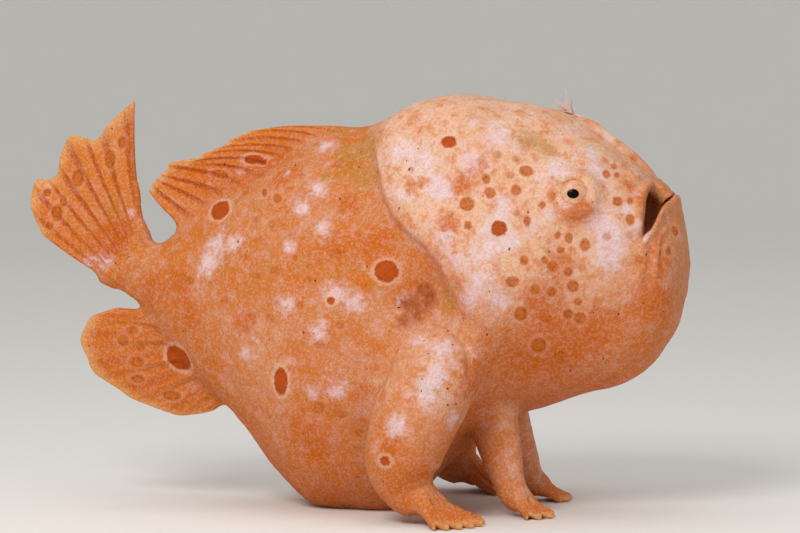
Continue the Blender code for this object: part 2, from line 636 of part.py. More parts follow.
def spine_and_lure(tree):
    spine = tube("second_dorsal_spine", [(x, 0.0, z, radius) for x, z, radius in SPINE_PATH], around=10)
    set_on_body(spine)
    rod = [(x, y, skin_z(x, y, tree) + lift, LURE_RADIUS) for (x, y), lift in zip(LURE_PLAN, LURE_LIFTS)]
    lure = tube("lure", rod, around=6, count=10, finish="lure")
    tip = np.array(rod[-1][:3])
    filaments = []
    for turn in np.linspace(-FILAMENT_SPREAD, FILAMENT_SPREAD, LURE_FILAMENTS):
        heading = np.array((-math.cos(turn), 0.8 * math.sin(turn), FILAMENT_RISE))
        path = []
        for share in (-0.1, 0.3, 0.7, 1.0):
            place = tip + heading * FILAMENT_LENGTH * share
            path.append((*place, FILAMENT_RADIUS * (1 - 0.6 * share)))
        filaments.append(tube("filament", path, around=5, count=4, finish="lure"))
    boolean(lure, filaments, "UNION")
    set_on_body(lure)


def eyes(tree):
    for side, word in ((RIGHT, "right"), (LEFT, "left")):
        ball("eye_" + word, eye_centre(side, tree), (EYE_RADIUS,) * 3, segments=18, rings=10, finish="eye")


def shade_smoothly():
    """Rounded shading, with an edge kept sharp where the faces turn by more than 40 degrees."""
    for node in bpy.data.objects:
        node.data.polygons.foreach_set("use_smooth", [True] * len(node.data.polygons))
        node.data.set_sharp_from_angle(angle=math.radians(40))


def unpaired_fins():
    dorsal = fin(
        "soft_dorsal_fin", DORSAL_ROOTS, DORSAL_EDGE, DORSAL_RAYS, DORSAL_BENDS, rows=8, notch=DORSAL_NOTCH,
        thick=DORSAL_THICK,
    )
    straight = (smooth_rows(ANAL_ROOTS, 9) + smooth_rows(ANAL_EDGE, 9)) / 2
    anal = fin(
        "anal_fin", ANAL_ROOTS, ANAL_EDGE, ANAL_RAYS, straight, rows=7, notch=ANAL_NOTCH, thick=ANAL_THICK,
    )
    caudal = fin(
        "caudal_fin", CAUDAL_ROOTS, CAUDAL_EDGE, CAUDAL_RAYS, CAUDAL_BENDS, rows=8, notch=CAUDAL_NOTCH,
        thick=CAUDAL_THICK,
    )
    for made in (dorsal, anal, caudal):
        set_on_body(made)


def build():
    for old in list(bpy.data.objects):
        bpy.data.objects.remove(old)
    tree = skin_tree(body_grid())
    body_nodes(tree)
    eyes(tree)
    unpaired_fins()
    for side, word in ((RIGHT, "right"), (LEFT, "left")):
        arm_nodes(side, word)
        pelvic_node(side, word)
    spine_and_lure(tree)
    shade_smoothly()


build()
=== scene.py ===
"""The looks of a life-size painted frogfish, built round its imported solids.

Tables are in millimetres in the model's own frame: the fish faces +x, its right side is at -y, +z is up
and the floor is at z = 0. What marks the skin in the photograph is placed by pixels of its 800 by 533
picture, cast along the camera's rays on to the skin, and the far side has a varied mirror image of it.
"""

import math

import bpy
import numpy as np
import openvdb as vdb
from mathutils import Matrix, Vector
from mathutils.bvhtree import BVHTree
from mathutils.geometry import tessellate_polygon
from mathutils.kdtree import KDTree


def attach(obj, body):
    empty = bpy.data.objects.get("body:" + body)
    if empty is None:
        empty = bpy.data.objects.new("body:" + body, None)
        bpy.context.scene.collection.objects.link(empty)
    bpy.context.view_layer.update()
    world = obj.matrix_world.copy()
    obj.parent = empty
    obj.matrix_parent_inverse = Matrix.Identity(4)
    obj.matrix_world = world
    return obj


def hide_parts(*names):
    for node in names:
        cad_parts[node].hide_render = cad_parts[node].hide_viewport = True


MM = 0.001
RIGHT, LEFT = -1, 1
BEYOND = 40.0  # a y outside the fish

# The photograph's camera.
PICTURE = (800, 533)
AZIMUTH, ELEVATION = math.radians(10.0), math.radians(3.0)
DISTANCE, LOOK_AT = 600.0, np.array((8.1, 0.0, 43.3))
LENS, SENSOR = 150.0, 36.0

# The shared grid of distances that the skin is shaped in.
VOXEL = 0.26
BAND = 13  # how many voxels each distance is known for, on both sides of a surface
GRID_LOW, GRID_HIGH = np.array((-66.0, -42.0, -3.0)), np.array((66.0, 42.0, 80.0))

# Each rib of the body from the tail to the chin: the back's x and z, the belly's x and z, the half width,
# how far up the rib is widest (0 to 1), and the fullness of its sides (2 is an ellipse).
RIBS = [
    (-39.6, 48.4, -47.0, 40.2, 1.5, 0.50, 2.2),
    (-38.9, 46.4, -43.2, 38.3, 2.6, 0.50, 2.1),
    (-36.2, 46.6, -39.2, 35.2, 4.2, 0.50, 2.0),
    (-31.2, 50.4, -34.2, 28.4, 7.0, 0.48, 2.0),
    (-25.0, 54.6, -28.0, 21.9, 10.2, 0.46, 2.0),
    (-18.0, 59.2, -20.9, 15.2, 13.6, 0.45, 2.1),
    (-11.5, 63.4, -14.4, 6.6, 16.6, 0.44, 2.1),
    (-4.8, 66.8, -7.8, 0.4, 19.0, 0.43, 2.1),
    (2.0, 68.0, 0.0, -1.1, 20.8, 0.44, 2.1),
    (9.0, 69.2, 9.0, -0.7, 21.8, 0.47, 2.1),
    (16.5, 70.4, 17.5, 8.5, 22.2, 0.50, 2.1),
    (25.0, 71.3, 26.0, 15.6, 21.8, 0.50, 2.1),
    (32.5, 72.0, 34.5, 18.7, 20.3, 0.50, 2.1),
    (38.5, 70.6, 42.5, 21.0, 18.4, 0.50, 2.1),
    (43.5, 67.5, 49.2, 22.8, 17.0, 0.53, 2.3),
    (48.0, 64.0, 54.0, 26.4, 15.8, 0.57, 2.4),
    (52.2, 60.8, 57.4, 31.6, 14.5, 0.60, 2.6),
    (54.6, 58.9, 58.9, 36.6, 12.8, 0.59, 2.8),
    (56.5, 57.1, 59.6, 41.0, 10.0, 0.56, 2.7),
    (58.1, 55.4, 59.9, 44.4, 6.8, 0.52, 2.4),
    (59.0, 52.4, 59.8, 47.0, 2.8, 0.50, 2.0),
]
BODY_STATIONS, BODY_AROUND = 170, 120

# Swellings and hollows of both flanks: x, y, z, radius and height.
SWELLS = [
    (17.0, 7.0, 67.5, 11.5, 4.6),  # the hump over the third dorsal spine
    (41.5, 15.5, 56.8, 5.5, 1.6),  # the mound of the eye
    (31.0, 21.0, 41.0, 12.0, 1.5),  # the cheek
    (15.0, 21.0, 38.4, 5.8, -3.4),  # the pit above the arm
    (0.5, 4.0, 69.0, 5.0, -0.9),  # the dip behind the hump
]
CHEEK_EDGE = [(4.6, 70.0), (6.4, 63.0), (8.8, 55.2), (11.8, 51.4), (18.8, 45.9), (21.8, 40.6), (23.2, 35.0)]
RIDGE_WIDTH, RIDGE_HEIGHT = 5.0, 1.0

# The mouth is a slot over the lower jaw's rim. In its middle only a thin gap parts it from the jaw above.
JAW_RIM = [
    (53.2, 49.1), (53.9, 50.0), (54.6, 51.2), (55.3, 52.9), (56.0, 54.6), (56.6, 55.5), (57.6, 56.0),
    (66.0, 56.6),
]
MOUTH_SLOT = [*JAW_RIM, (66.0, 61.6), (56.4, 59.8), (54.8, 58.8), (53.9, 57.2), (53.6, 54.0)]
GAP_THICK, GAP_HALF_WIDTH, GAP_OVERLAP = 0.45, 5.0, 0.5
GAP_ARCH, ARCH_FROM, ARCH_TO = 0.6, 50.0, 55.0  # the gap's rise, and the heights between which it comes in
MOUTH_HOLLOWS = [(50.4, -6.7, 53.6), (50.4, 6.7, 53.6)]  # one inside each corner of the mouth
MOUTH_HOLLOW_RADII = (5.6, 5.4, 4.4)
UPPER_LIP = [(53.2, 50.1), (53.0, 53.2), (53.1, 56.2), (53.6, 57.8), (54.4, 58.0)]
UPPER_LIP_FRONT = (55.2, 0.0, 56.9)
LOWER_LIP = [(54.0, 49.6), (54.8, 50.8), (55.5, 52.4), (56.1, 54.0)]
LOWER_LIP_FRONT = (57.2, 0.0, 55.5)
LIP_RADIUS, LIP_END_RADIUS, LIP_SINK = 1.0, 0.6, 0.4

EYE = (41.5, 56.8)  # x and z of each eye's centre
EYE_RADIUS, EYE_STANDS_OUT = 3.0, 1.4
EYE_FORWARD, EYE_UPWARD = 0.12, 0.28  # how far each eye turns forwards and up from facing sideways
EYE_RIM_RADIUS, EYE_RIM_LIFT = 0.8, 0.8
EYELID_OVERLAP = 0.1  # how far the skin reaches into the eyeball, so that no gap shows
PUPIL_PIXEL, PUPIL_RADII = (573.0, 193.6), (1.03, 0.81)
NOSTRILS = [(51.2, 60.2), (48.2, 62.2)]
NOSTRIL_RADIUS, NOSTRIL_WALL = 0.7, 0.4
NOSTRIL_SINK, NOSTRIL_OPENS = 0.3, 0.7  # how deep its cup is set, and how far out its hollow's middle lies

SPINE_PATH = [
    (53.4, 58.5, 1.2), (51.2, 60.7, 1.8), (47.7, 64.0, 1.5), (44.8, 66.5, 1.3), (42.2, 68.6, 1.1),
    (40.6, 69.8, 0.5),
]
LURE_PLAN = [(53.8, 2.6), (51.0, 3.6), (48.0, 4.2), (45.0, 4.4), (42.0, 4.4), (39.0, 4.2)]
LURE_LIFTS = [-0.4, 0.75, 0.75, 0.75, 0.75, 0.8]
LURE_RADIUS = 0.36
LURE_FILAMENTS, FILAMENT_LENGTH, FILAMENT_RADIUS = 16, 3.4, 0.2

# The roots and outer edge of each fin, as x, y and z from its first ray to its last.
DORSAL_ROOTS = [(4.0, 0.0, 65.5), (-12.0, 0.0, 59.5), (-29.0, 0.0, 48.5)]
DORSAL_BENDS = [(-5.0, 0.0, 70.0), (-21.0, 0.6, 64.0), (-35.6, 0.0, 52.2)]
DORSAL_EDGE = [
    (-17.0, 0.8, 68.0), (-21.2, 1.0, 67.2), (-25.7, 0.2, 64.5), (-28.6, -0.4, 63.2), (-31.0, -0.8, 61.9),
    (-34.4, 0.0, 61.8), (-36.4, 0.4, 59.4), (-37.6, 0.5, 58.6), (-38.3, 0.4, 56.6),
]
DORSAL_RAYS, DORSAL_NOTCH, DORSAL_THICK = 12, 0.035, (4.2, 0.8)
ANAL_ROOTS = [(-20.5, 0.0, 21.0), (-28.0, 0.0, 27.4), (-36.0, 0.0, 34.6)]
ANAL_EDGE = [
    (-26.5, 0.0, 16.7), (-29.9, 0.3, 15.8), (-33.7, 0.6, 15.7), (-38.7, 0.6, 17.1), (-43.5, 0.3, 19.5),
    (-47.2, 0.0, 21.8), (-49.9, -0.4, 24.8), (-51.0, -0.7, 28.0), (-51.1, -0.6, 31.0), (-49.6, -0.3, 33.3),
    (-47.4, 0.0, 34.5), (-44.4, 0.0, 35.3),
]
ANAL_RAYS, ANAL_NOTCH, ANAL_THICK = 7, 0.02, (4.4, 0.8)
CAUDAL_ROOTS = [(-38.0, 0.0, 46.2), (-41.4, 0.0, 43.0), (-45.2, 0.0, 40.0)]
CAUDAL_BENDS = [
    (-42.2, 1.4, 57.0), (-46.0, 2.0, 56.0), (-49.4, 2.2, 53.0), (-52.2, 1.4, 48.0), (-52.4, 0.6, 43.6),
]
CAUDAL_EDGE = [
    (-41.5, 2.4, 73.2), (-44.1, 2.9, 71.7), (-46.5, 3.3, 69.2), (-48.6, 3.5, 66.8), (-50.0, 3.6, 65.9),
    (-51.7, 3.7, 66.7), (-53.5, 3.8, 66.9), (-55.2, 3.8, 65.8), (-56.0, 3.8, 63.6), (-56.4, 3.6, 61.1),
    (-57.2, 3.4, 59.2), (-58.1, 3.3, 58.7), (-59.6, 3.1, 59.0), (-60.9, 2.8, 57.9), (-61.5, 2.4, 56.1),
    (-61.2, 1.8, 53.5), (-60.2, 1.2, 50.8), (-58.6, 0.8, 48.4),
]
CAUDAL_RAYS, CAUDAL_NOTCH, CAUDAL_THICK = 9, 0.015, (4.4, 0.9)

# The right arm and leg: x, y, z and radius along each. Those of the left are their mirror images.
ARM_PATH = [
    (20.0, -8.5, 30.0, 6.6), (19.6, -14.5, 29.0, 7.8), (18.0, -19.6, 25.6, 8.0), (15.6, -22.6, 20.0, 7.6),
    (13.6, -24.0, 14.2, 7.0), (12.8, -24.2, 9.2, 6.1), (13.8, -24.4, 5.6, 4.3), (15.8, -24.7, 3.6, 2.8),
]
WRIST, HAND_HEIGHT, HAND_THICK = (14.6, -24.0, 0.0), 5.0, (4.2, 1.4)
HAND_RAYS, HAND_LENGTH, HAND_FAN = 9, 13.0, (-40.0, 62.0)
LEG_PATH = [
    (25.0, -6.0, 20.0, 4.8), (27.2, -8.4, 12.8, 4.0), (28.8, -10.2, 7.8, 3.2), (30.0, -11.2, 4.6, 2.5),
    (31.6, -12.0, 2.8, 1.8),
]
ANKLE, FOOT_HEIGHT, FOOT_THICK = (29.6, -11.0, 0.0), 3.8, (3.2, 1.3)
TOE_SPREAD, TOE_NOTCH = 1.0, 0.2  # how far from the joint each toe is rooted, and the notch between two
TOE_BEND, TOE_BEND_HEIGHT, TOE_TIP_HEIGHT, OUTER_TOES_SHORTER = 0.55, 1.3, 0.35, 0.12
FOOT_RAYS, FOOT_LENGTH, FOOT_FAN = 5, 8.6, (-22.0, 58.0)
WEB_SHARE, WEB_LEAST = 0.55, 0.5  # the membrane's thickness as a share of the rays', and its least
FINE_RIDGES = 0.22  # the height of the fine ridges between the rays, as a share of a ray's

# How softly each part runs into the flesh, as the radius of a fillet.
FIN_FILLET, ANAL_FILLET, FOOT_FILLET, ARM_FILLET, LEG_FILLET, SPINE_FILLET = 3.6, 2.0, 2.6, 3.0, 2.0, 1.0
LIP_FILLET, MOUTH_FILLET, GAP_FILLET, HOLLOW_FILLET = 1.2, 1.2, 0.2, 0.8
EYE_RIM_FILLET, EYE_FILLET, NOSTRIL_FILLET, NOSTRIL_RIM_FILLET = 3.0, 0.05, 0.8, 0.3
SOLE_FILLET, SOLE_REACH = 0.3, 8.0  # the edge of what is flat on the floor, and how high the floor is felt

FLESH = (
    "head", "lower_jaw", "torso", "tail_stem", "third_dorsal_hump", "second_dorsal_spine", "soft_dorsal_fin",
    "anal_fin", "caudal_fin", "pectoral_arm_right", "pectoral_arm_left", "pectoral_hand_right",
    "pectoral_hand_left", "pelvic_fin_right", "pelvic_fin_left",
)

# Dark orange spots, by pixel: u, v, radius across, radius up if another, and tilt in degrees if any.
RINGED_SPOTS = [
    (386.5, 271.3, 12, 11), (499, 228.4, 8), (280.7, 381.5, 7, 14), (449, 142, 8, 6, 8),
    (330.5, 300.4, 4), (385, 461, 5), (220.5, 210.5, 10.5), (179, 358, 15, 11, -38),
    (253.7, 159.4, 10, 4.5),
]
STRONG_SPOTS = [
    (467, 204, 7.5, 7), (490, 193, 5.8, 5.5), (516, 190, 5.2), (557.6, 235, 3.5, 4), (569, 238, 4, 5.5),
    (617, 202, 5), (630, 219.6, 4.5, 5.5), (606.5, 174, 4, 4.6), (560.6, 250, 4, 3.5),
    (220, 174, 9, 4, -12), (486, 179, 4, 5), (526, 171, 7, 5.5, -10), (468, 225.5, 4, 4.5),
    (527, 221, 3.6, 5.5), (542, 205, 3.5), (585, 245, 5, 6), (524, 260, 4.5), (544.5, 260, 3.5),
    (552.4, 266.5, 5.5), (568, 272, 4.5), (512, 282, 7, 5.5), (535, 289.5, 5), (551.5, 291.5, 5),
    (573, 286, 6), (578, 301.5, 4), (521, 314, 7), (568, 314, 5), (580, 318.4, 6), (538.6, 345.4, 8),
    (614, 166, 3), (617, 175, 3), (630, 201, 3.5), (265, 193, 3, 4), (278, 199, 4, 5), (110, 159, 6, 9),
    (78, 178, 6, 9), (57, 213, 6, 8), (63.6, 201, 3.5, 6), (47, 192.5, 4), (49.4, 225.7, 4),
    (121.7, 142, 4.5, 6), (123, 340.5, 5.5), (132, 330, 6, 4), (136.6, 362, 8, 5), (137.7, 378.6, 7, 4),
    (172, 395.6, 9, 5), (674, 231, 3, 5, 20), (669, 251, 3, 4.5, 10), (661, 253, 2, 3.5),
]
FAINT_SPOTS = [
    (257, 220, 3.5), (272, 225, 4), (245, 194, 3), (293, 236, 4.5, 4), (260, 240, 3), (338, 251, 4),
    (358, 234, 4, 3.5), (245, 257, 3.5, 3), (308, 279, 4, 3), (190, 281, 5, 4), (210, 284, 3),
    (300, 305, 4), (270, 318, 5, 4), (340, 325, 4), (225, 300, 4), (366, 286, 4), (320, 345, 5, 4),
    (290, 190, 3.5, 3), (262, 176, 4, 3), (303, 176, 3), (498, 155, 4), (516, 159, 4, 3),
    (510, 175, 4.5, 3.5), (450, 214.5, 4), (517, 213, 4), (546, 318, 5), (560, 356, 6), (604.5, 159.4, 3),
    (606.5, 236.5, 4), (629.4, 235, 4), (582, 268, 4), (411.6, 170, 3), (275, 271, 5), (320, 261, 4),
    (257, 275.5, 3.5), (309, 266, 3.5, 3), (295, 257, 3, 3.5), (356, 211, 3), (343, 211, 3),
    (319.5, 407, 6), (341, 413.6, 7, 4), (359, 433, 4), (140.5, 347, 4), (245, 194, 3, 2.5),
]

# Washes of colour, by pixel: u, v and radius.
PALE_WASHES = [
    (425, 160, 18), (400, 150, 15), (438, 192, 12), (403, 196, 9), (470, 158, 12), (497, 135, 16),
    (441, 187, 10), (503, 203, 8), (499, 222, 15), (548, 215, 8), (490, 245, 16), (510, 240, 10),
    (445, 241, 12), (458, 262, 12), (533, 226, 8), (480, 280, 13), (500, 300, 14), (470, 300, 12),
    (558, 170, 17), (590, 152, 12), (585, 190, 10), (600, 172, 12), (601, 222, 15), (615, 240, 14),
    (609, 257, 18), (627, 210, 7), (640, 224, 7), (647, 237, 5), (326, 145, 12), (319, 189, 10),
    (302, 208, 9), (217, 243, 13), (236, 243, 10), (291, 247, 9), (322, 228, 9), (208, 264, 14),
    (335, 294, 13), (357, 303, 11), (286, 304, 11), (319, 331, 12), (442, 350, 13), (436, 374, 12),
    (397, 425, 13), (338, 389, 13), (418, 341, 8), (313, 392, 8), (246, 352, 8), (426, 392, 14),
    (453, 420, 10), (122, 123, 4), (48, 186, 4), (95, 188, 6), (130, 213, 6), (106, 261, 9), (87, 262, 5),
    (288, 173, 4), (208, 183, 4), (238, 172, 4), (400, 300, 5),
]
# Deep orange patches; those on the throat, the low cheek and the chin are partly painted shade.
DEEP_AND_SHADE_WASHES = [
    (464, 185, 15), (447, 226, 16), (480, 163, 10), (575, 214, 13), (587, 210, 8), (552, 196, 8),
    (415, 185, 10), (270, 155, 26), (230, 172, 22), (195, 170, 22), (281, 180, 14), (347, 203, 13),
    (378, 246, 24), (333, 246, 18), (310, 441, 28), (389, 445, 12), (246, 322, 16), (475, 379, 26),
    (530, 360, 40), (600, 330, 30), (540, 300, 26), (115, 238, 20), (150, 288, 20), (345, 162, 16),
    (560, 345, 26), (664, 262, 10), (639, 260, 5), (652, 250, 5), (629, 185, 9), (633, 159, 6),
    (655, 300, 26), (640, 200, 8), (74, 155, 14), (40, 215, 14), (64, 240, 14), (132, 108, 10),
    (120, 330, 20), (110, 365, 22), (160, 380, 22), (190, 320, 16), (180, 285, 20), (560, 262, 18),
]
OCHRE_WASHES = [
    (366, 148, 20), (366, 178, 14), (345, 150, 14), (345, 172, 10), (326, 179, 8), (340, 130, 12),
    (528, 139, 15), (548, 150, 10), (558, 180, 7), (114, 206, 10), (448, 292, 9), (426, 385, 14),
    (450, 306, 9),
]
# Painted shade in the pit above the arm.
PIT_SHADE_WASHES = [(407, 303, 11), (430, 299, 11), (418, 316, 12), (402, 322, 9), (424, 288, 8)]
SPECK_WASHES = [
    (368, 150, 16), (376, 180, 14), (372, 125, 12), (384, 208, 10), (400, 305, 14), (400, 400, 22),
    (430, 410, 26), (452, 400, 18), (400, 440, 16), (418, 350, 16),
]

# Folds and grooves of the skin: the pixels that each follows, its half width and its height.
FOLDS = [
    ([(377, 150), (384, 185), (393, 212), (404, 225), (422, 240), (440, 257), (450, 275)], 1.0, 0.45),
    ([(368, 158), (375, 190), (385, 215), (398, 231), (416, 248), (431, 266), (438, 285)], 1.5, -0.6),
    ([(645, 236), (642, 250), (641, 264), (638, 285)], 0.8, 0.3),
    ([(651, 240), (650, 262), (648, 280)], 0.7, -0.3),
    ([(666, 228), (661, 238), (657, 250), (655, 272)], 0.7, 0.3),
    ([(664, 240), (662, 262), (664, 285)], 0.7, -0.3),
    ([(438, 318), (455, 330), (468, 350), (470, 372)], 1.0, -0.5),
    ([(400, 330), (392, 350), (384, 380), (378, 410)], 1.2, -0.35),
]
LUMPS = [(0.30, 7.0, 1), (0.12, 2.6, 2), (0.05, 1.1, 3)]  # the skin's uneven lumps: height, size and seed
LUMPS_LESS_ON_FINS = 0.85
SOLE_HEIGHT = 0.4  # skin below this lies on the floor and stays flat

# Each kind of spot with its strength and its pale ring's.
SPOT_KINDS = [(FAINT_SPOTS, 0.48, 0.0), (STRONG_SPOTS, 0.82, 0.25), (RINGED_SPOTS, 0.96, 0.75)]
SPOT_REACH = 1.6  # how far outside a spot its distance is known
SPOT_DEPTH_WEIGHT = 0.16  # how much the distance along the line of sight counts in a spot's shape
FAR_SPOT_SHIFT, FAR_SPOT_SIZES, FAR_WASH_SHIFT = 1.3, (0.8, 1.15), 1.5  # how the far side's marks vary
TAIL_FINS_FROM = -22.0  # the fins' spots lie behind this x, and show on both faces of a fin
# The extra streaks on fins above HIGH_FROM are painted fold shadow.
TAIL_STREAKS, HAND_STREAKS, HIGH_FOLD_SHADOWS, HIGH_FROM = 0.45, 0.2, 0.35, 50.0  # how strong a fin's streaks are
UNDER_FROM = 0.15  # skin that leans down more than this is deeper orange, partly its own colour and partly painted shade

# The head's paler ground: how it meets the flank's, the heights it comes in between, where it fades to the
# chin as painted shade on the snout and jaw, and the patch of it on each upper arm.
FACE_BLEND, FACE_HEIGHTS, FACE_LEAST = 5.0, (26.0, 46.0), 0.25
CHIN_FROM, CHIN_TO, CHIN_SHADE_FADE = 46.0, 54.0, 0.75
UPPER_ARM, UPPER_ARM_RADIUS, UPPER_ARM_SHARE = (19.0, 24.0, 26.0), 10.0, 0.7

# The radius of the flat floor, the radius of its bend, and the top of the wall that it bends up into.
FLOOR_FLAT, FLOOR_BEND, FLOOR_TOP = 1100.0, 900.0, 2400.0
FLOOR_AROUND, FLOOR_BEND_STEPS = 96, 20
FLOOR_COLOUR = (0.87, 0.86, 0.84, 1.0)

# Each round light: its place, what it aims at, its width, its power in watts and its colour.
LIGHTS = {
    "overhead": ((0.0, 0.0, 2100.0), (0.0, 0.0, 0.0), 2000.0, 12.0, (1.0, 1.0, 1.0)),
    "key": ((-110.0, -470.0, 390.0), (10.0, 0.0, 40.0), 260.0, 2.0, (1.0, 0.975, 0.94)),
    "fill": ((460.0, -300.0, 160.0), (0.0, 0.0, 35.0), 420.0, 0.3, (1.0, 1.0, 1.0)),
}
SKY_COLOUR, SKY_STRENGTH = (1.0, 0.98, 0.96, 1.0), 0.3


def camera_axes():
    """The camera's right, up and back directions."""
    level = math.cos(ELEVATION)
    back = np.array((math.sin(AZIMUTH) * level, -math.cos(AZIMUTH) * level, math.sin(ELEVATION)))
    right = np.array((math.cos(AZIMUTH), math.sin(AZIMUTH), 0.0))
    return right, np.cross(back, right), back


def pixel_ray(u, v):
    """Where the ray of one pixel of the photograph starts, and its direction."""
    right, up, back = camera_axes()
    reach = LENS / SENSOR * PICTURE[0]
    heading = right * (u - PICTURE[0] / 2) + up * (PICTURE[1] / 2 - v) - back * reach
    return LOOK_AT + back * DISTANCE, heading / np.linalg.norm(heading)


def pixel_size(point):
    """How many millimetres one pixel spans at a point."""
    back = camera_axes()[2]
    return (DISTANCE - (np.asarray(point) - LOOK_AT) @ back) / (LENS / SENSOR * PICTURE[0])


def make_camera():
    right, up, back = camera_axes()
    data = bpy.data.cameras.new("camera")
    data.lens, data.sensor_width = LENS, SENSOR
    data.clip_start, data.clip_end = 0.01, 20.0
    camera = bpy.data.objects.new("camera", data)
    turned = Matrix((right, up, back)).transposed().to_4x4()
    camera.matrix_world = Matrix.Translation(Vector((LOOK_AT + back * DISTANCE) * MM)) @ turned
    bpy.context.scene.collection.objects.link(camera)
    bpy.context.scene.camera = camera


# Curves, lofts and fins as points and triangles, in millimetres


def smooth_rows(rows, count):
    """Evenly spaced rows on a smooth curve through the given rows."""
    rows = np.asarray(rows, float)
    padded = np.vstack([2 * rows[0] - rows[1], rows, 2 * rows[-1] - rows[-2]])
    at = np.linspace(0, len(rows) - 1, count)
    first = np.minimum(at.astype(int), len(rows) - 2)
    t = (at - first)[:, None]
    a, b, c, d = (padded[first + k] for k in range(4))
    return 0.5 * (2 * b + (c - a) * t + (2 * a - 5 * b + 4 * c - d) * t**2 + (3 * b - a - 3 * c + d) * t**3)


def grid_cells(rows, columns, round_rows=False, round_columns=True):
    """The numbers of the four corners of each cell in a grid of points, which may close on itself."""
    last = rows - (not round_rows), columns - (not round_columns)
    i, j = np.meshgrid(np.arange(last[0]), np.arange(last[1]), indexing="ij")
    k, m = (i + 1) % rows, (j + 1) % columns
    return i * columns + j, i * columns + m, k * columns + m, k * columns + j


def stacked(groups):
    """Rows of corner numbers, from groups that each give their first corners, their second ones and so on."""
    return np.concatenate([np.stack(group, axis=-1).reshape(-1, len(group)) for group in groups])


def loft(grid):
    """The points and triangles of a closed solid through rings of points."""
    rings, around = grid.shape[:2]
    points = np.vstack([grid.reshape(-1, 3), grid[0].mean(0), grid[-1].mean(0)])
    a, b, c, d = grid_cells(rings, around)
    j, k = np.arange(around), (np.arange(around) + 1) % around
    first_end, last_end = np.full(around, rings * around), np.full(around, rings * around + 1)
    last_ring = (rings - 1) * around
    ends = [(first_end, k, j), (last_end, last_ring + j, last_ring + k)]
    return points, stacked([(a, b, c), (a, c, d), *ends])


def distance_to_line(x, z, corners):
    """The distance in the side view from each point to a line of corners, and its side of the line."""
    nearest = np.full(x.shape, np.inf)
    side = np.zeros(x.shape)
    for (ax, az), (bx, bz) in zip(corners[:-1], corners[1:]):
        dx, dz = bx - ax, bz - az
        t = np.clip(((x - ax) * dx + (z - az) * dz) / (dx * dx + dz * dz), 0, 1)
        away = np.hypot(x - ax - t * dx, z - az - t * dz)
        turn = np.sign(dx * (z - az) - dz * (x - ax))
        side = np.where(away < nearest, turn, side)
        nearest = np.minimum(nearest, away)
    return nearest, side


def swelling(points):
    """How far the skin stands out at each point, for the hump, cheek, eye mound, pit and cheek edge."""
    x, y, z = points[..., 0], np.abs(points[..., 1]), points[..., 2]
    height = np.zeros(x.shape)
    for sx, sy, sz, radius, rise in SWELLS:
        squared = (x - sx) ** 2 + (y - sy) ** 2 + (z - sz) ** 2
        height += rise * np.exp(-squared / radius**2)
    away, side = distance_to_line(x, z, CHEEK_EDGE)
    offset = away * side
    high_up = np.clip((y - 3.0) / 6.0, 0, 1)
    height += RIDGE_HEIGHT * high_up * (offset / RIDGE_WIDTH) * np.exp(1 - (offset / RIDGE_WIDTH) ** 2)
    return height


def grid_normals(grid):
    """Outward directions at the points of a loft's rings."""
    along = np.gradient(grid, axis=0)
    around = np.roll(grid, -1, axis=1) - np.roll(grid, 1, axis=1)
    normal = np.cross(around, along)
    normal /= np.maximum(np.linalg.norm(normal, axis=2, keepdims=True), 1e-9)
    outward = grid - grid.mean(axis=1, keepdims=True)
    return normal * np.sign((normal * outward).sum((1, 2), keepdims=True))


def body_grid():
    """The body's rings, with the flanks' swellings."""
    rows = smooth_rows(RIBS, BODY_STATIONS)
    angle = np.linspace(0, 2 * math.pi, BODY_AROUND, endpoint=False)
    grid = np.zeros((BODY_STATIONS, BODY_AROUND, 3))
    for i, (top_x, top_z, low_x, low_z, half_width, widest, fullness) in enumerate(rows):
        power = 2 / fullness
        side = np.sign(np.cos(angle)) * np.abs(np.cos(angle)) ** power
        rise = np.sign(np.sin(angle)) * np.abs(np.sin(angle)) ** power
        share = np.where(rise > 0, widest + (1 - widest) * rise, widest * (1 + rise))
        grid[i, :, 0] = low_x + (top_x - low_x) * share
        grid[i, :, 1] = half_width * side
        grid[i, :, 2] = low_z + (top_z - low_z) * share
    return grid + grid_normals(grid) * swelling(grid)[..., None]


def tube_grid(path, around=28, count=None):
    """Rings along a path of x, y, z and radius, each square to the path."""
    rows = smooth_rows(path, count or 8 * len(path))
    heading = np.gradient(rows[:, :3], axis=0)
    heading /= np.linalg.norm(heading, axis=1, keepdims=True)
    angle = np.linspace(0, 2 * math.pi, around, endpoint=False)
    across = np.cross(heading[0], (0.0, 0.0, 1.0))
    if np.linalg.norm(across) < 0.2:
        across = np.cross(heading[0], (1.0, 0.0, 0.0))
    grid = np.zeros((len(rows), around, 3))
    for i, row in enumerate(rows):
        across = across - heading[i] * (across @ heading[i])
        across /= np.linalg.norm(across)
        up = np.cross(heading[i], across)
        ring = np.outer(np.cos(angle), across) + np.outer(np.sin(angle), up)
        grid[i] = row[:3] + row[3] * ring
    return grid


def fin_sheet(roots, tips, rays, notch, mid=None, rows=60, per_ray=20):
    """A fin's middle sheet as points by row and column, and how many rays each column lies from the first."""
    if mid is None:
        mid = (smooth_rows(roots, 9) + smooth_rows(tips, 9)) / 2
    columns = (rays - 1) * per_ray + 1
    root, bend, tip = (smooth_rows(ends, columns) for ends in (roots, mid, tips))
    across = np.arange(columns) / per_ray
    reach = 1 - notch * np.sin(math.pi * across) ** 2
    t = np.linspace(0, 1, rows)[:, None, None] * reach[None, :, None]
    return (1 - t) ** 2 * root + 2 * t * (1 - t) * bend + t**2 * tip, across


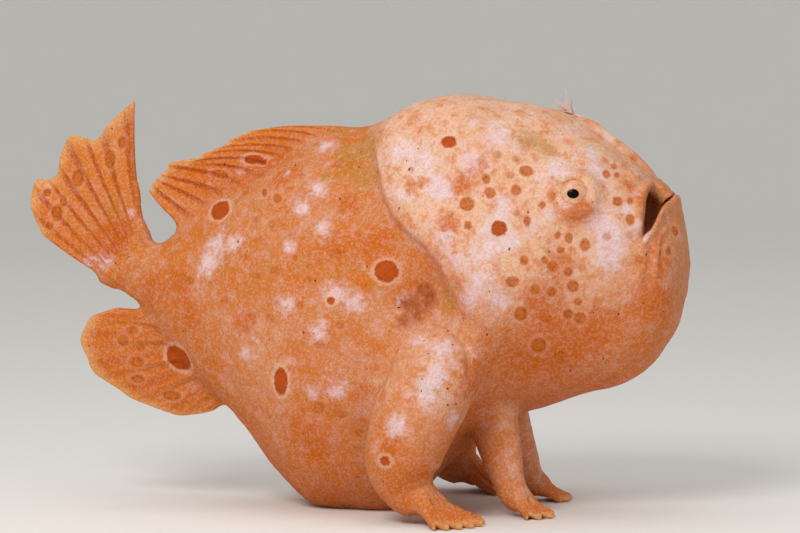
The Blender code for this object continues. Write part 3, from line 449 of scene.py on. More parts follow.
def rim_distance(sheet):
    """How far each point of a fin's sheet lies from its tips or its first or last ray."""
    out = np.linalg.norm(np.diff(sheet, axis=0), axis=2)
    beside = np.linalg.norm(np.diff(sheet, axis=1), axis=2)
    to_tip = np.zeros(sheet.shape[:2])
    to_tip[:-1] = np.cumsum(out[::-1], axis=0)[::-1]
    from_first, from_last = np.zeros(sheet.shape[:2]), np.zeros(sheet.shape[:2])
    from_first[:, 1:] = np.cumsum(beside, axis=1)
    from_last[:, :-1] = np.cumsum(beside[:, ::-1], axis=1)[:, ::-1]
    return np.minimum(to_tip, np.minimum(from_first, from_last))


def fin_solid(sheet, across, thick):
    """A thick sheet with round rims: a membrane, and rays that stand out of both its faces."""
    rows, columns = sheet.shape[:2]
    normal = np.cross(np.gradient(sheet, axis=0), np.gradient(sheet, axis=1))
    normal /= np.linalg.norm(normal, axis=2, keepdims=True)
    ridge = np.clip(np.cos(2 * math.pi * across), 0, 1) ** 1.5
    ridge += FINE_RIDGES * np.cos(6 * math.pi * across) ** 2
    taper = np.linspace(thick[0], thick[1], rows)
    half = 0.5 * np.maximum(taper[:, None] * (WEB_SHARE + (1 - WEB_SHARE) * ridge[None, :]), WEB_LEAST)
    inward = np.clip(rim_distance(sheet) / half, 0, 1)
    half = (half * np.sqrt(np.maximum(1 - (1 - inward) ** 2, 0.02)))[..., None]
    points = np.vstack([(sheet + normal * half).reshape(-1, 3), (sheet - normal * half).reshape(-1, 3)])
    a, b, c, d = grid_cells(rows, columns, round_columns=False)
    back = rows * columns
    faces = [(a, b, c), (a, c, d), (back + a, back + c, back + b), (back + a, back + d, back + c)]
    last_row = (rows - 1) * columns
    rim = np.concatenate([
        np.arange(columns),
        np.arange(1, rows) * columns + columns - 1,
        last_row + np.arange(columns - 2, -1, -1),
        np.arange(rows - 2, 0, -1) * columns,
    ])
    after = np.roll(rim, -1)
    faces += [(rim, back + rim, after), (after, back + rim, back + after)]
    return points, stacked(faces)


# The grid of distances


def grid_shape():
    return np.ceil((GRID_HIGH - GRID_LOW) / VOXEL).astype(int) + 1


def box_round(low, high):
    """The slices of the shared grid round a box in millimetres, and their first indices."""
    first = np.clip(np.floor((low - GRID_LOW) / VOXEL).astype(int) - BAND, 0, grid_shape() - 2)
    last = np.clip(np.ceil((high - GRID_LOW) / VOXEL).astype(int) + BAND + 1, first + 1, grid_shape())
    return tuple(slice(a, b) for a, b in zip(first, last)), first


def distances(solid):
    """A closed surface's signed distances, in the slices of the grid round it."""
    points, triangles = solid
    where, first = box_round(points.min(0), points.max(0))
    level_set = vdb.FloatGrid.createLevelSetFromPolygons(
        (points - GRID_LOW).astype(np.float32),
        triangles=triangles.astype(np.uint32),
        transform=vdb.createLinearTransform(VOXEL),
        halfWidth=float(BAND),
    )
    values = np.zeros([s.stop - s.start for s in where], np.float32)
    level_set.copyToArray(values, ijk=tuple(int(k) for k in first))
    return where, values


def ball_distances(centre, radii):
    """The same for a ball that is stretched to three radii."""
    centre, radii = np.asarray(centre, float), np.asarray(radii, float)
    where, first = box_round(centre - radii, centre + radii)
    axes = [(np.arange(s.start, s.stop) * VOXEL + low - c) for s, low, c in zip(where, GRID_LOW, centre)]
    x, y, z = np.meshgrid(*axes, indexing="ij", sparse=True)
    near = np.sqrt((x / radii[0]) ** 2 + (y / radii[1]) ** 2 + (z / radii[2]) ** 2)
    steep = np.sqrt((x / radii[0] ** 2) ** 2 + (y / radii[1] ** 2) ** 2 + (z / radii[2] ** 2) ** 2)
    return where, (near * (near - 1) / np.maximum(steep, 1e-6)).astype(np.float32)


def joined(a, b, fillet):
    """The smaller of two distances, rounded where they meet."""
    least = np.minimum(a, b)
    mix = np.maximum(fillet - np.abs(a - b), 0) / fillet
    return np.where(least < 0.9 * BAND * VOXEL, least - mix * mix * fillet / 4, least)


def add(field, part, fillet):
    where, values = part
    field[where] = joined(field[where], values, fillet)


def cut(field, part, fillet):
    where, values = part
    field[where] = -joined(-field[where], values, fillet)


def surface(field):
    """The points and quads of the surface where the distance is nought."""
    grid = vdb.FloatGrid(float(BAND * VOXEL))
    grid.copyFromArray(field)
    grid.transform = vdb.createLinearTransform(VOXEL)
    points, quads = grid.convertToQuads(isovalue=0.0)
    return points.astype(float) + GRID_LOW, quads


# The fish's parts in the grid


def body_tree():
    """The body without its fins and limbs, as a surface on which places can be looked up."""
    points, triangles = loft(body_grid())
    return BVHTree.FromPolygons(points.tolist(), triangles.tolist())


def flank(x, z, side, tree):
    """The point of one flank at x and z, and the outward direction there."""
    hit, normal = tree.ray_cast((x, 100.0 * side, z), (0.0, -1.0 * side, 0.0))[:2]
    return np.array(hit), np.array(normal) * (1 if normal.y * side > 0 else -1)


def back_height(x, y, tree):
    return tree.ray_cast((x, y, 200.0), (0.0, 0.0, -1.0))[0].z


def eye_centre(side, tree):
    """The middle of an eyeball, sunk so that it stands out of the skin by the stated height."""
    x, z = EYE
    return np.array((x, side * (abs(flank(x, z, side, tree)[0][1]) + EYE_STANDS_OUT - EYE_RADIUS), z))


def lip(line, front, tree):
    """A round lip along a line on both cheeks, which crosses the middle at its front point."""
    side = [(x, abs(flank(x, z, LEFT, tree)[0][1]) - LIP_SINK * LIP_RADIUS, z) for x, z in line]
    path = [(x, -y, z) for x, y, z in side] + [front] + [(x, y, z) for x, y, z in side[::-1]]
    radii = [LIP_END_RADIUS] + [LIP_RADIUS] * (len(path) - 2) + [LIP_END_RADIUS]
    rows = [(*point, radius) for point, radius in zip(path, radii)]
    return loft(tube_grid(rows, around=20, count=80))


def ring_round(centre, outward, ring_radius, wire_radius, steps=(72, 20)):
    """A closed ring of round section lying square to the outward direction."""
    outward = np.asarray(outward, float) / np.linalg.norm(outward)
    across = np.cross(outward, (0.0, 0.0, 1.0))
    across /= np.linalg.norm(across)
    up = np.cross(outward, across)
    angles = (np.linspace(0, 2 * math.pi, count, endpoint=False) for count in steps)
    turn, tilt = (angle[..., None] for angle in np.meshgrid(*angles, indexing="ij"))
    spoke = np.cos(turn) * across + np.sin(turn) * up
    points = centre + spoke * (ring_radius + wire_radius * np.cos(tilt))
    points = points + outward * wire_radius * np.sin(tilt)
    a, b, c, d = grid_cells(*steps, round_rows=True)
    return points.reshape(-1, 3), stacked([(a, b, c), (a, c, d)])


def prism(corners, near, far, arch=0.0):
    """The solid between two values of y with a side-view outline of x and z, whose middle arches up."""
    x, z = np.asarray(corners, float).T
    share = np.linspace(-1, 1, 9 if arch else 2)[:, None]
    comes_in = np.clip((z - ARCH_FROM) / (ARCH_TO - ARCH_FROM), 0, 1)
    height = z + arch * (1 - share**2) * comes_in
    y = (near + far) / 2 + (far - near) / 2 * share
    points = np.stack(np.broadcast_arrays(x, y, height), axis=-1).reshape(-1, 3)
    a, b, c, d = grid_cells(len(share), len(x))
    outline = [Vector((corner_x, 0.0, corner_z)) for corner_x, corner_z in corners]
    p, q, r = np.array(tessellate_polygon([outline])).T
    end = (len(share) - 1) * len(x)
    return points, stacked([(a, d, c), (a, c, b), (p, q, r), (end + p, end + r, end + q)])


def ribbon(corners, thickness):
    """The outline of a thin sheet along a line of the side view."""
    line = np.asarray(corners, float)
    heading = np.gradient(line, axis=0)
    heading /= np.linalg.norm(heading, axis=1, keepdims=True)
    beside = np.stack([-heading[:, 1], heading[:, 0]], axis=1) * thickness / 2
    return [*(line + beside), *(line - beside)[::-1]]


def mirrored(path, side):
    """The path given for the right side, on the side that is asked for."""
    return [(x, side * abs(y), z, radius) for x, y, z, radius in path]


def toe_sheet(joint, toes, length, fan, side, height):
    """The middle sheet of a hand or foot: webbed toes that leave a joint, arch down and lie on the floor."""
    angles = np.radians(np.linspace(fan[0], fan[1], toes))
    even = 1 - OUTER_TOES_SHORTER * np.abs(np.linspace(-1, 1, toes))
    roots, bends, tips = [], [], []
    for angle, share in zip(angles, even):
        heading = np.array((math.cos(angle), side * math.sin(angle), 0.0))
        start = np.array((joint[0], side * abs(joint[1]), 0.0))
        roots.append(start + heading * TOE_SPREAD + (0, 0, height))
        bends.append(start + heading * length * share * TOE_BEND + (0, 0, TOE_BEND_HEIGHT))
        tips.append(start + heading * length * share + (0, 0, TOE_TIP_HEIGHT))
    return fin_sheet(roots, tips, toes, TOE_NOTCH, bends, rows=40, per_ray=14)


def fins():
    """Each fin's middle sheet, its thickness at root and tip, and its fillet at the body."""
    dorsal = fin_sheet(DORSAL_ROOTS, DORSAL_EDGE, DORSAL_RAYS, DORSAL_NOTCH, DORSAL_BENDS)
    anal = fin_sheet(ANAL_ROOTS, ANAL_EDGE, ANAL_RAYS, ANAL_NOTCH)
    caudal = fin_sheet(CAUDAL_ROOTS, CAUDAL_EDGE, CAUDAL_RAYS, CAUDAL_NOTCH, CAUDAL_BENDS)
    found = {
        "dorsal": (dorsal, DORSAL_THICK, FIN_FILLET),
        "anal": (anal, ANAL_THICK, ANAL_FILLET),
        "caudal": (caudal, CAUDAL_THICK, FIN_FILLET),
    }
    for side, word in ((RIGHT, "right"), (LEFT, "left")):
        hand = toe_sheet(WRIST, HAND_RAYS, HAND_LENGTH, HAND_FAN, side, HAND_HEIGHT)
        foot = toe_sheet(ANKLE, FOOT_RAYS, FOOT_LENGTH, FOOT_FAN, side, FOOT_HEIGHT)
        found["hand_" + word] = (hand, HAND_THICK, FIN_FILLET)
        found["foot_" + word] = (foot, FOOT_THICK, FOOT_FILLET)
    return found


def add_mouth(field, tree):
    """The lips, the slot at each cheek, the thin gap between them and the hollow inside each corner."""
    for line, front in ((UPPER_LIP, UPPER_LIP_FRONT), (LOWER_LIP, LOWER_LIP_FRONT)):
        add(field, distances(lip(line, front, tree)), LIP_FILLET)
    for near, far in ((-BEYOND, -GAP_HALF_WIDTH), (GAP_HALF_WIDTH, BEYOND)):
        cut(field, distances(prism(MOUTH_SLOT, near, far)), MOUTH_FILLET)
    reach = GAP_HALF_WIDTH + GAP_OVERLAP
    cut(field, distances(prism(ribbon(JAW_RIM, GAP_THICK), -reach, reach, GAP_ARCH)), GAP_FILLET)
    for centre in MOUTH_HOLLOWS:
        cut(field, ball_distances(centre, MOUTH_HOLLOW_RADII), HOLLOW_FILLET)


def add_eye_and_nostrils(field, side, tree):
    """The raised rim round one eye, the two short cups in front of it, and the eye's socket."""
    centre = eye_centre(side, tree)
    outward = np.array((EYE_FORWARD, side, EYE_UPWARD))
    rim = centre + outward / np.linalg.norm(outward) * EYE_RIM_LIFT
    add(field, distances(ring_round(rim, outward, EYE_RADIUS, EYE_RIM_RADIUS)), EYE_RIM_FILLET)
    for x, z in NOSTRILS:
        spot, away = flank(x, z, side, tree)
        cup = ball_distances(spot - NOSTRIL_SINK * away, (NOSTRIL_RADIUS + NOSTRIL_WALL,) * 3)
        add(field, cup, NOSTRIL_FILLET)
        cut(field, ball_distances(spot + NOSTRIL_OPENS * away, (NOSTRIL_RADIUS,) * 3), NOSTRIL_RIM_FILLET)
    cut(field, ball_distances(centre, (EYE_RADIUS - EYELID_OVERLAP,) * 3), EYE_FILLET)


def flatten_on_floor(field):
    """Cuts the fish off level with the floor, with a small round edge."""
    height = (np.arange(field.shape[2]) * VOXEL + GRID_LOW[2]).astype(np.float32)
    low = slice(0, int(SOLE_REACH / VOXEL))
    field[:, :, low] = -joined(-field[:, :, low], height[None, None, low], SOLE_FILLET)


def skin_field(tree, sheets):
    """The whole fish in the grid of distances."""
    field = np.full(grid_shape(), BAND * VOXEL, np.float32)
    where, values = distances(loft(body_grid()))
    field[where] = values
    for side in (RIGHT, LEFT):
        for path, fillet in ((ARM_PATH, ARM_FILLET), (LEG_PATH, LEG_FILLET)):
            add(field, distances(loft(tube_grid(mirrored(path, side)))), fillet)
    for (sheet, across), thick, fillet in sheets.values():
        add(field, distances(fin_solid(sheet, across, thick)), fillet)
    spine = [(x, 0.0, z, radius) for x, z, radius in SPINE_PATH]
    add(field, distances(loft(tube_grid(spine))), SPINE_FILLET)
    add_mouth(field, tree)
    for side in (RIGHT, LEFT):
        add_eye_and_nostrils(field, side, tree)
    flatten_on_floor(field)
    return field


def mesh_object(name, points, faces):
    """A smoothly shaded mesh object from points in millimetres and faces of one size."""
    faces = np.asarray(faces)
    count, corners = faces.shape
    mesh = bpy.data.meshes.new(name)
    mesh.vertices.add(len(points))
    mesh.vertices.foreach_set("co", (np.asarray(points) * MM).astype(np.float32).ravel())
    mesh.loops.add(count * corners)
    mesh.loops.foreach_set("vertex_index", faces.astype(np.int32).ravel())
    mesh.polygons.add(count)
    mesh.polygons.foreach_set("loop_start", np.arange(0, count * corners, corners, dtype=np.int32))
    mesh.polygons.foreach_set("use_smooth", np.ones(count, bool))
    mesh.update(calc_edges=True)
    mesh.validate()
    made = bpy.data.objects.new(name, mesh)
    bpy.context.scene.collection.objects.link(made)
    return made


def vertex_normals(mesh):
    normals = np.zeros(len(mesh.vertices) * 3, np.float32)
    mesh.vertex_normals.foreach_get("vector", normals)
    return normals.reshape(-1, 3)


def make_floor():
    """A round pale floor that sweeps up into a wall all round."""
    turn = np.linspace(0, math.pi / 2, FLOOR_BEND_STEPS)
    radius = np.append(FLOOR_FLAT + FLOOR_BEND * np.sin(turn), FLOOR_FLAT + FLOOR_BEND)
    height = np.append(FLOOR_BEND - FLOOR_BEND * np.cos(turn), FLOOR_TOP)
    angle = np.linspace(0, 2 * math.pi, FLOOR_AROUND, endpoint=False)
    x, y = np.outer(radius, np.cos(angle)), np.outer(radius, np.sin(angle))
    rings = np.stack([x, y, np.repeat(height[:, None], FLOOR_AROUND, axis=1)], axis=-1)
    points = np.vstack([rings.reshape(-1, 3), (0.0, 0.0, 0.0)])
    centre = np.full(FLOOR_AROUND, len(points) - 1)
    j, k = np.arange(FLOOR_AROUND), (np.arange(FLOOR_AROUND) + 1) % FLOOR_AROUND
    a, b, c, d = grid_cells(len(radius), FLOOR_AROUND)
    floor = mesh_object("floor", points, stacked([(centre, j, k), (a, d, c), (a, c, b)]))
    material = bpy.data.materials.new("floor")
    material.use_nodes = True
    shader = material.node_tree.nodes["Principled BSDF"]
    shader.inputs["Base Color"].default_value = FLOOR_COLOUR
    shader.inputs["Roughness"].default_value = 0.8
    shader.inputs["Specular IOR Level"].default_value = 0.2
    floor.data.materials.append(material)


def area_light(name, place, aim, size, power, colour):
    data = bpy.data.lights.new(name, "AREA")
    data.shape, data.size, data.energy, data.color = "DISK", size * MM, power, colour
    light = bpy.data.objects.new(name, data)
    place, aim = Vector(place) * MM, Vector(aim) * MM
    light.location = place
    light.rotation_mode = "QUATERNION"
    light.rotation_quaternion = (aim - place).to_track_quat("-Z", "Y")
    bpy.context.scene.collection.objects.link(light)


def make_lights():
    for name, light in LIGHTS.items():
        area_light(name, *light)
    world = bpy.data.worlds.new("world")
    world.use_nodes = True
    world.node_tree.nodes["Background"].inputs["Color"].default_value = SKY_COLOUR
    world.node_tree.nodes["Background"].inputs["Strength"].default_value = SKY_STRENGTH
    bpy.context.scene.world = world
    bpy.context.scene.view_settings.view_transform = "Standard"


# The skin's relief and markings


class Nearby:
    """Points sorted along x, so that those near a place are found quickly."""

    def __init__(self, points):
        self.points = points
        self.order = np.argsort(points[:, 0])
        self.sorted_x = points[self.order, 0]

    def within(self, place, reach):
        """The numbers of the points within reach of a place, and their offsets from it."""
        first, last = np.searchsorted(self.sorted_x, (place[0] - reach, place[0] + reach))
        found = self.order[first:last]
        offset = self.points[found] - place
        near = (offset**2).sum(1) < reach * reach
        return found[near], offset[near]


def lattice_noise(points, size, seed):
    """Smooth seeded noise from -1 to 1 with lumps about so many millimetres across."""
    lattice = np.random.default_rng(seed).uniform(-1, 1, (32, 32, 32))
    at = points / size + 100.0
    cell = np.floor(at).astype(int)
    t = at - cell
    t = t * t * (3 - 2 * t)
    total = np.zeros(len(points))
    for corner in np.ndindex(2, 2, 2):
        weight = np.prod(np.where(corner, t, 1 - t), axis=1)
        i, j, k = ((cell + corner) % 32).T
        total += weight * lattice[i, j, k]
    return total


def cast(tree, u, v):
    """The point of the skin under a pixel of the photograph, and the outward direction there, or None."""
    start, heading = pixel_ray(u, v)
    hit, normal = tree.ray_cast(start.tolist(), heading.tolist())[:2]
    if hit is None:
        return None
    normal = np.array(normal)
    return np.array(hit), normal if normal @ heading < 0 else -normal


def far_side(point):
    return point * (1.0, -1.0, 1.0)


def traced(tree, path):
    """Points on the skin about a pixel apart, under a smooth line through pixels of the photograph."""
    length = sum(math.dist(a, b) for a, b in zip(path[:-1], path[1:]))
    hits = [cast(tree, u, v) for u, v in smooth_rows(path, int(length) + 2)]
    return [hit[0] for hit in hits if hit is not None]


def nearness(nearby, places, width):
    """A bell from 1 on the places to 0 about three widths away, at every point."""
    reach = 2.6 * width
    squared = np.full(len(nearby.points), reach * reach)
    for place in places:
        found, offset = nearby.within(place, reach)
        squared[found] = np.minimum(squared[found], (offset**2).sum(1))
    return np.exp(-squared / width**2) * (squared < reach * reach)


def relief(nearby, tree, out):
    """How far the skin stands out at each point, for its folds and lumps. The lumps are less on the fins."""
    points = nearby.points
    height = sum(rise * lattice_noise(points, size, seed) for rise, size, seed in LUMPS)
    height *= 1 - LUMPS_LESS_ON_FINS * np.clip(4 * out, 0, 1)
    for path, width, rise in FOLDS:
        near_side = traced(tree, path)
        height += rise * nearness(nearby, near_side + [far_side(place) for place in near_side], width)
    return height


def spot_row(u, v, across, high=None, tilt=0.0):
    return u, v, across, high or across, tilt


def spot_outlines(tree, spots, random):
    """Each spot's middle, long direction, pixel size, radii and side. The body's spots are on both flanks."""
    right, up = camera_axes()[:2]
    for u, v, across, high, tilt in (spot_row(*row) for row in spots):
        hit = cast(tree, u, v)
        if hit is None:
            continue
        place, pixel = hit[0], pixel_size(hit[0])
        turn = math.radians(tilt)
        way = math.cos(turn) * right + math.sin(turn) * up
        yield place, way, pixel, (across, high), RIGHT
        if place[0] >= TAIL_FINS_FROM:
            centre = far_side(place + random.normal(0.0, FAR_SPOT_SHIFT, 3))
            yield centre, far_side(way), pixel * random.uniform(*FAR_SPOT_SIZES), (across, high), LEFT


def spot_marks(nearby, tree):
    """At every point, the distance in millimetres to the edge of the nearest spot, its tone and its ring."""
    edge = np.full(len(nearby.points), SPOT_REACH)
    tone, ring = np.zeros(len(nearby.points)), np.zeros(len(nearby.points))
    random = np.random.default_rng(7)
    back = camera_axes()[2]
    for spots, strength, halo in SPOT_KINDS:
        for centre, way, size, (across, high), side in spot_outlines(tree, spots, random):
            rise = np.cross(back * (1.0, -side, 1.0), way)
            rise /= np.linalg.norm(rise)
            found, offset = nearby.within(centre, max(across, high) * size + SPOT_REACH)
            along, over = offset @ way, offset @ rise
            deep = offset - np.outer(along, way) - np.outer(over, rise)
            sunk = SPOT_DEPTH_WEIGHT * (deep**2).sum(1) / max(across, high) ** 2
            scaled = np.sqrt((along / across) ** 2 + (over / high) ** 2 + sunk)
            gap = (scaled - size) * (across + high) / 2
            nearer = gap < edge[found]
            chosen = found[nearer]
            edge[chosen], tone[chosen], ring[chosen] = gap[nearer], strength, halo
    return edge, tone, ring


def wash(nearby, tree, places):
    """A soft mask round patches of the skin, from 0 to 1."""
    amount = np.zeros(len(nearby.points))
    random = np.random.default_rng(11)
    for u, v, radius in places:
        hit = cast(tree, u, v)
        if hit is None:
            continue
        size = radius * pixel_size(hit[0])
        for centre in (hit[0], far_side(hit[0] + random.normal(0.0, FAR_WASH_SHIFT, 3))):
            found, offset = nearby.within(centre, 2.2 * size)
            amount[found] += np.exp(-(offset**2).sum(1) / size**2)
    return np.clip(amount, 0, 1)


def fin_marks(points, sheets):
    """How far out on a fin each point is, from 0 at the root to 1 at the tip, and its place among rays."""
    out, phase = np.zeros(len(points)), np.zeros(len(points))
    for (sheet, across), thick, _ in sheets.values():
        rows, columns = sheet.shape[:2]
        flat = sheet.reshape(-1, 3)
        low, high = flat.min(0) - 2.0, flat.max(0) + 2.0
        inside = np.flatnonzero(((points > low) & (points < high)).all(1))
        tree = KDTree(len(flat))
        for number, place in enumerate(flat):
            tree.insert(place, number)
        tree.balance()
        for index in inside:
            _, number, distance = tree.find(points[index])
            if distance < 0.5 * thick[0] + 0.5:
                out[index] = (number // columns) / (rows - 1)
                phase[index] = across[number % columns]
    return out, phase


def face_share(points):
    """How much of the head's paler ground each point has, from 0 on the flank to 1 on the head's top."""
    x, z = points[:, 0], points[:, 2]
    from_cheek, side = distance_to_line(x, z, CHEEK_EDGE)
    in_head = np.clip(0.5 + side * from_cheek / FACE_BLEND, 0, 1)
    high_up = np.clip((z - FACE_HEIGHTS[0]) / (FACE_HEIGHTS[1] - FACE_HEIGHTS[0]), FACE_LEAST, 1)
    # Painted shade on the snout and jaw: less of the paler ground towards the chin.
    to_chin = 1 - CHIN_SHADE_FADE * np.clip((x - CHIN_FROM) / (CHIN_TO - CHIN_FROM), 0, 1)
    from_arm = ((np.abs(points) - UPPER_ARM) ** 2).sum(1)
    upper_arm = UPPER_ARM_SHARE * np.exp(-from_arm / UPPER_ARM_RADIUS**2)
    return np.maximum(in_head * high_up * to_chin, upper_arm)


def set_attribute(mesh, name, values):
    attribute = mesh.attributes.new(name, "FLOAT", "POINT")
    attribute.data.foreach_set("value", np.asarray(values, np.float32))


# Materials


def rgb(*screen):
    """A colour from the 0 to 255 numbers of a screen, as linear light."""
    shares = [number / 255 for number in screen]
    return *(c / 12.92 if c <= 0.04045 else ((c + 0.055) / 1.055) ** 2.4 for c in shares), 1.0


class Shader:
    """Short ways to add nodes to one material."""

    def __init__(self, name):
        self.material = bpy.data.materials.new(name)
        self.material.use_nodes = True
        self.nodes, self.links = self.material.node_tree.nodes, self.material.node_tree.links
        self.surface = self.nodes["Principled BSDF"]
        self.place = self.nodes.new("ShaderNodeTexCoord").outputs["Object"]

    def put(self, socket, value):
        if isinstance(value, bpy.types.NodeSocket):
            self.links.new(value, socket)
        else:
            socket.default_value = value

    def attribute(self, name):
        node = self.nodes.new("ShaderNodeAttribute")
        node.attribute_name = name
        return node.outputs["Fac"]

    def math(self, operation, a, b=0.0):
        node = self.nodes.new("ShaderNodeMath")
        node.operation = operation
        self.put(node.inputs[0], a)
        self.put(node.inputs[1], b)
        return node.outputs[0]

    def times(self, a, b):
        return self.math("MULTIPLY", a, b)

    def plus(self, a, b):
        return self.math("ADD", a, b)

    def step(self, value, low, high):
        """A smooth step from 0 where the value is low to 1 where it is high."""
        node = self.nodes.new("ShaderNodeMapRange")
        node.interpolation_type = "SMOOTHSTEP"
        self.put(node.inputs["Value"], value)
        node.inputs["From Min"].default_value, node.inputs["From Max"].default_value = low, high
        return node.outputs["Result"]

    def mix(self, factor, a, b):
        node = self.nodes.new("ShaderNodeMix")
        node.data_type = "RGBA"
        self.put(node.inputs["Factor"], factor)
        self.put(node.inputs["A"], a)
        self.put(node.inputs["B"], b)
        return node.outputs["Result"]

    def tint(self, colour, mask, strength, other):
        """The colour turned to another, at most by the strength, where the mask is 1."""
        return self.mix(self.times(mask, strength), colour, other)

    def noise(self, size, detail=2.0, roughness=0.5):
        """Noise from 0 to 1 with lumps about so many millimetres across."""
        node = self.nodes.new("ShaderNodeTexNoise")
        self.links.new(self.place, node.inputs["Vector"])
        node.inputs["Scale"].default_value = 1 / (size * MM)
        node.inputs["Detail"].default_value = detail
        node.inputs["Roughness"].default_value = roughness
        return node.outputs["Fac"]

    def cells(self, size, stretch=(1.0, 1.0, 1.0)):
        """The distance to the middle of cells of so many millimetres, and each cell's number from 0 to 1."""
        node = self.nodes.new("ShaderNodeTexVoronoi")
        place = self.nodes.new("ShaderNodeMapping")
        self.links.new(self.place, place.inputs["Vector"])
        place.inputs["Scale"].default_value = stretch
        self.links.new(place.outputs["Vector"], node.inputs["Vector"])
        node.inputs["Scale"].default_value = 1 / (size * MM)
        return node.outputs["Distance"], node.outputs["Color"]

    def bump(self, height, depth, normal=None):
        node = self.nodes.new("ShaderNodeBump")
        self.put(node.inputs["Height"], height)
        node.inputs["Distance"].default_value = depth * MM
        if normal is not None:
            self.put(node.inputs["Normal"], normal)
        return node.outputs["Normal"]

    def finish(self, colour, normal, numbers):
        """Joins the colour and the bumps to the surface, and sets its other inputs to plain numbers."""
        self.links.new(colour, self.surface.inputs["Base Color"])
        if normal is not None:
            self.links.new(normal, self.surface.inputs["Normal"])
        for name, number in numbers.items():
            self.surface.inputs[name].default_value = number


FLANK, ROSE, ORANGE, HEAD = rgb(200, 118, 50), rgb(204, 134, 86), rgb(208, 108, 18), rgb(227, 181, 147)
# The last colour of the next line is painted shade, for the pit above the arm.
PALE, DEEP, OCHRE, PIT_SHADE = rgb(230, 210, 218), rgb(196, 94, 8), rgb(178, 128, 40), rgb(146, 54, 2)
SPOT, EYESPOT, SPOT_GRAIN, HALO = rgb(196, 100, 18), rgb(184, 74, 0), rgb(140, 54, 4), rgb(228, 190, 168)
# The third colour of the next line paints the fins' streaks, partly as fold shadow.
SPECK, FIN, FIN_STREAK_AND_SHADOW, FIN_EDGE = rgb(66, 38, 22), rgb(208, 118, 38), rgb(176, 70, 4), rgb(230, 182, 116)
PUPIL, IRIS, IRIS_SPOKE = rgb(4, 3, 3), rgb(218, 146, 100), rgb(206, 122, 70)
LURE, LURE_PALE = rgb(214, 160, 128), rgb(236, 214, 210)
EYE_FACE_SHARE = 0.75  # how much of the head's paler ground the eyeball has


def mottled_ground(s, face):
    """The skin's colour before its patches and spots. It is paler on the face."""
    ground = s.mix(s.step(s.noise(9.0), 0.38, 0.62), FLANK, ROSE)
    colour = s.mix(face, ground, HEAD)
    colour = s.tint(colour, s.step(s.noise(3.4, 4.0, 0.62), 0.44, 0.66), 0.40, ORANGE)
    colour = s.tint(colour, s.step(s.noise(1.7), 0.52, 0.66), 0.34, ORANGE)
    veined = s.step(s.noise(2.8, 3.0, 0.56), 0.48, 0.74)
    return s.tint(colour, veined, s.plus(s.times(face, 0.34), 0.18), PALE)


def granular(s, colour):
    """The colour broken up into fine grains, with each grain's number and the distance to its middle."""
    distance, number = s.cells(0.34)
    colour = s.tint(colour, s.step(number, 0.35, 0.65), 0.18, DEEP)
    colour = s.tint(colour, s.step(number, 0.48, 0.28), 0.12, PALE)
    return s.tint(colour, s.step(s.noise(0.8), 0.52, 0.70), 0.14, ORANGE), number, distance


def washed(s, colour, uneven):
    """The colour with its deep orange (partly painted shade), ochre and lilac-white patches, and deeper on
    the underside, also partly painted shade.
    """
    # The deep washes are partly painted shade on the throat, the low cheek and the chin.
    deep = s.plus(s.attribute("deep"), s.times(uneven, 1.6))
    colour = s.tint(colour, s.step(deep, 0.15, 1.0), 0.75, DEEP)
    ochre = s.plus(s.attribute("ochre"), uneven)
    colour = s.tint(colour, s.step(ochre, 0.15, 0.9), 0.62, OCHRE)
    pale = s.plus(s.attribute("pale"), s.times(uneven, -2.2))
    colour = s.tint(colour, s.step(pale, 0.05, 1.25), 0.80, PALE)
    # Partly painted shade: skin that leans down is turned deeper orange.
    return s.tint(colour, s.attribute("under"), 0.60, DEEP)


def finned(s, colour):
    """The colour turned to the fins' own, with darker streaks between the rays, partly painted fold shadow,
    and a pale edge.
    """
    on_fin = s.step(s.attribute("fin"), 0.1, 0.6)
    colour = s.tint(colour, on_fin, 0.70, FIN)
    # Darker streaks between the rays: the fins' own pattern, and painted fold shadow on the high fins.
    streak = s.math("SINE", s.times(s.attribute("ray"), 2 * math.pi))
    streaked = s.times(s.step(streak, 0.1, 0.9), s.attribute("streaks"))
    colour = s.tint(colour, streaked, on_fin, FIN_STREAK_AND_SHADOW)
    return s.tint(colour, s.step(s.attribute("fin"), 0.86, 1.0), 0.55, FIN_EDGE)


def spotted(s, colour, grain_number):
    """The colour with its grainy, ragged spots and their pale rings."""
    ragged = s.times(s.plus(s.noise(0.6, 2.0, 0.6), -0.5), 0.5)
    ragged = s.plus(ragged, s.times(s.plus(grain_number, -0.5), 0.4))
    edge = s.plus(s.attribute("spot"), ragged)
    halo = s.times(s.step(edge, 1.1, 0.2), s.attribute("ring"))
    colour = s.tint(colour, halo, 0.62, HALO)
    near_edge = s.step(edge, -0.9, -0.1)
    grainy = s.times(s.step(grain_number, 0.35, 0.65), s.plus(s.times(near_edge, 0.5), 0.25))
    spot = s.mix(s.step(s.attribute("tone"), 0.84, 0.94), SPOT, EYESPOT)
    return s.tint(colour, s.step(edge, 0.22, -0.18), s.attribute("tone"), s.mix(grainy, spot, SPOT_GRAIN))


def specked(s, colour):
    """The colour with tiny dark specks, few in most places and crowded in some."""
    for size, low, high in ((1.3, 0.58, 0.62), (1.9, 0.54, 0.58), (2.9, 0.50, 0.54)):
        distance, chance = s.cells(size, stretch=(1.0, 0.8, 0.7))
        speck = s.times(s.step(distance, 0.085, 0.050), s.step(chance, low, high))
        colour = s.tint(colour, speck, 0.8, SPECK)
    distance, chance = s.cells(1.1, stretch=(0.5, 1.0, 0.9))
    crowded = s.times(s.step(distance, 0.16, 0.10), s.step(chance, 0.50, 0.56))
    return s.tint(colour, crowded, s.attribute("specks"), SPECK)


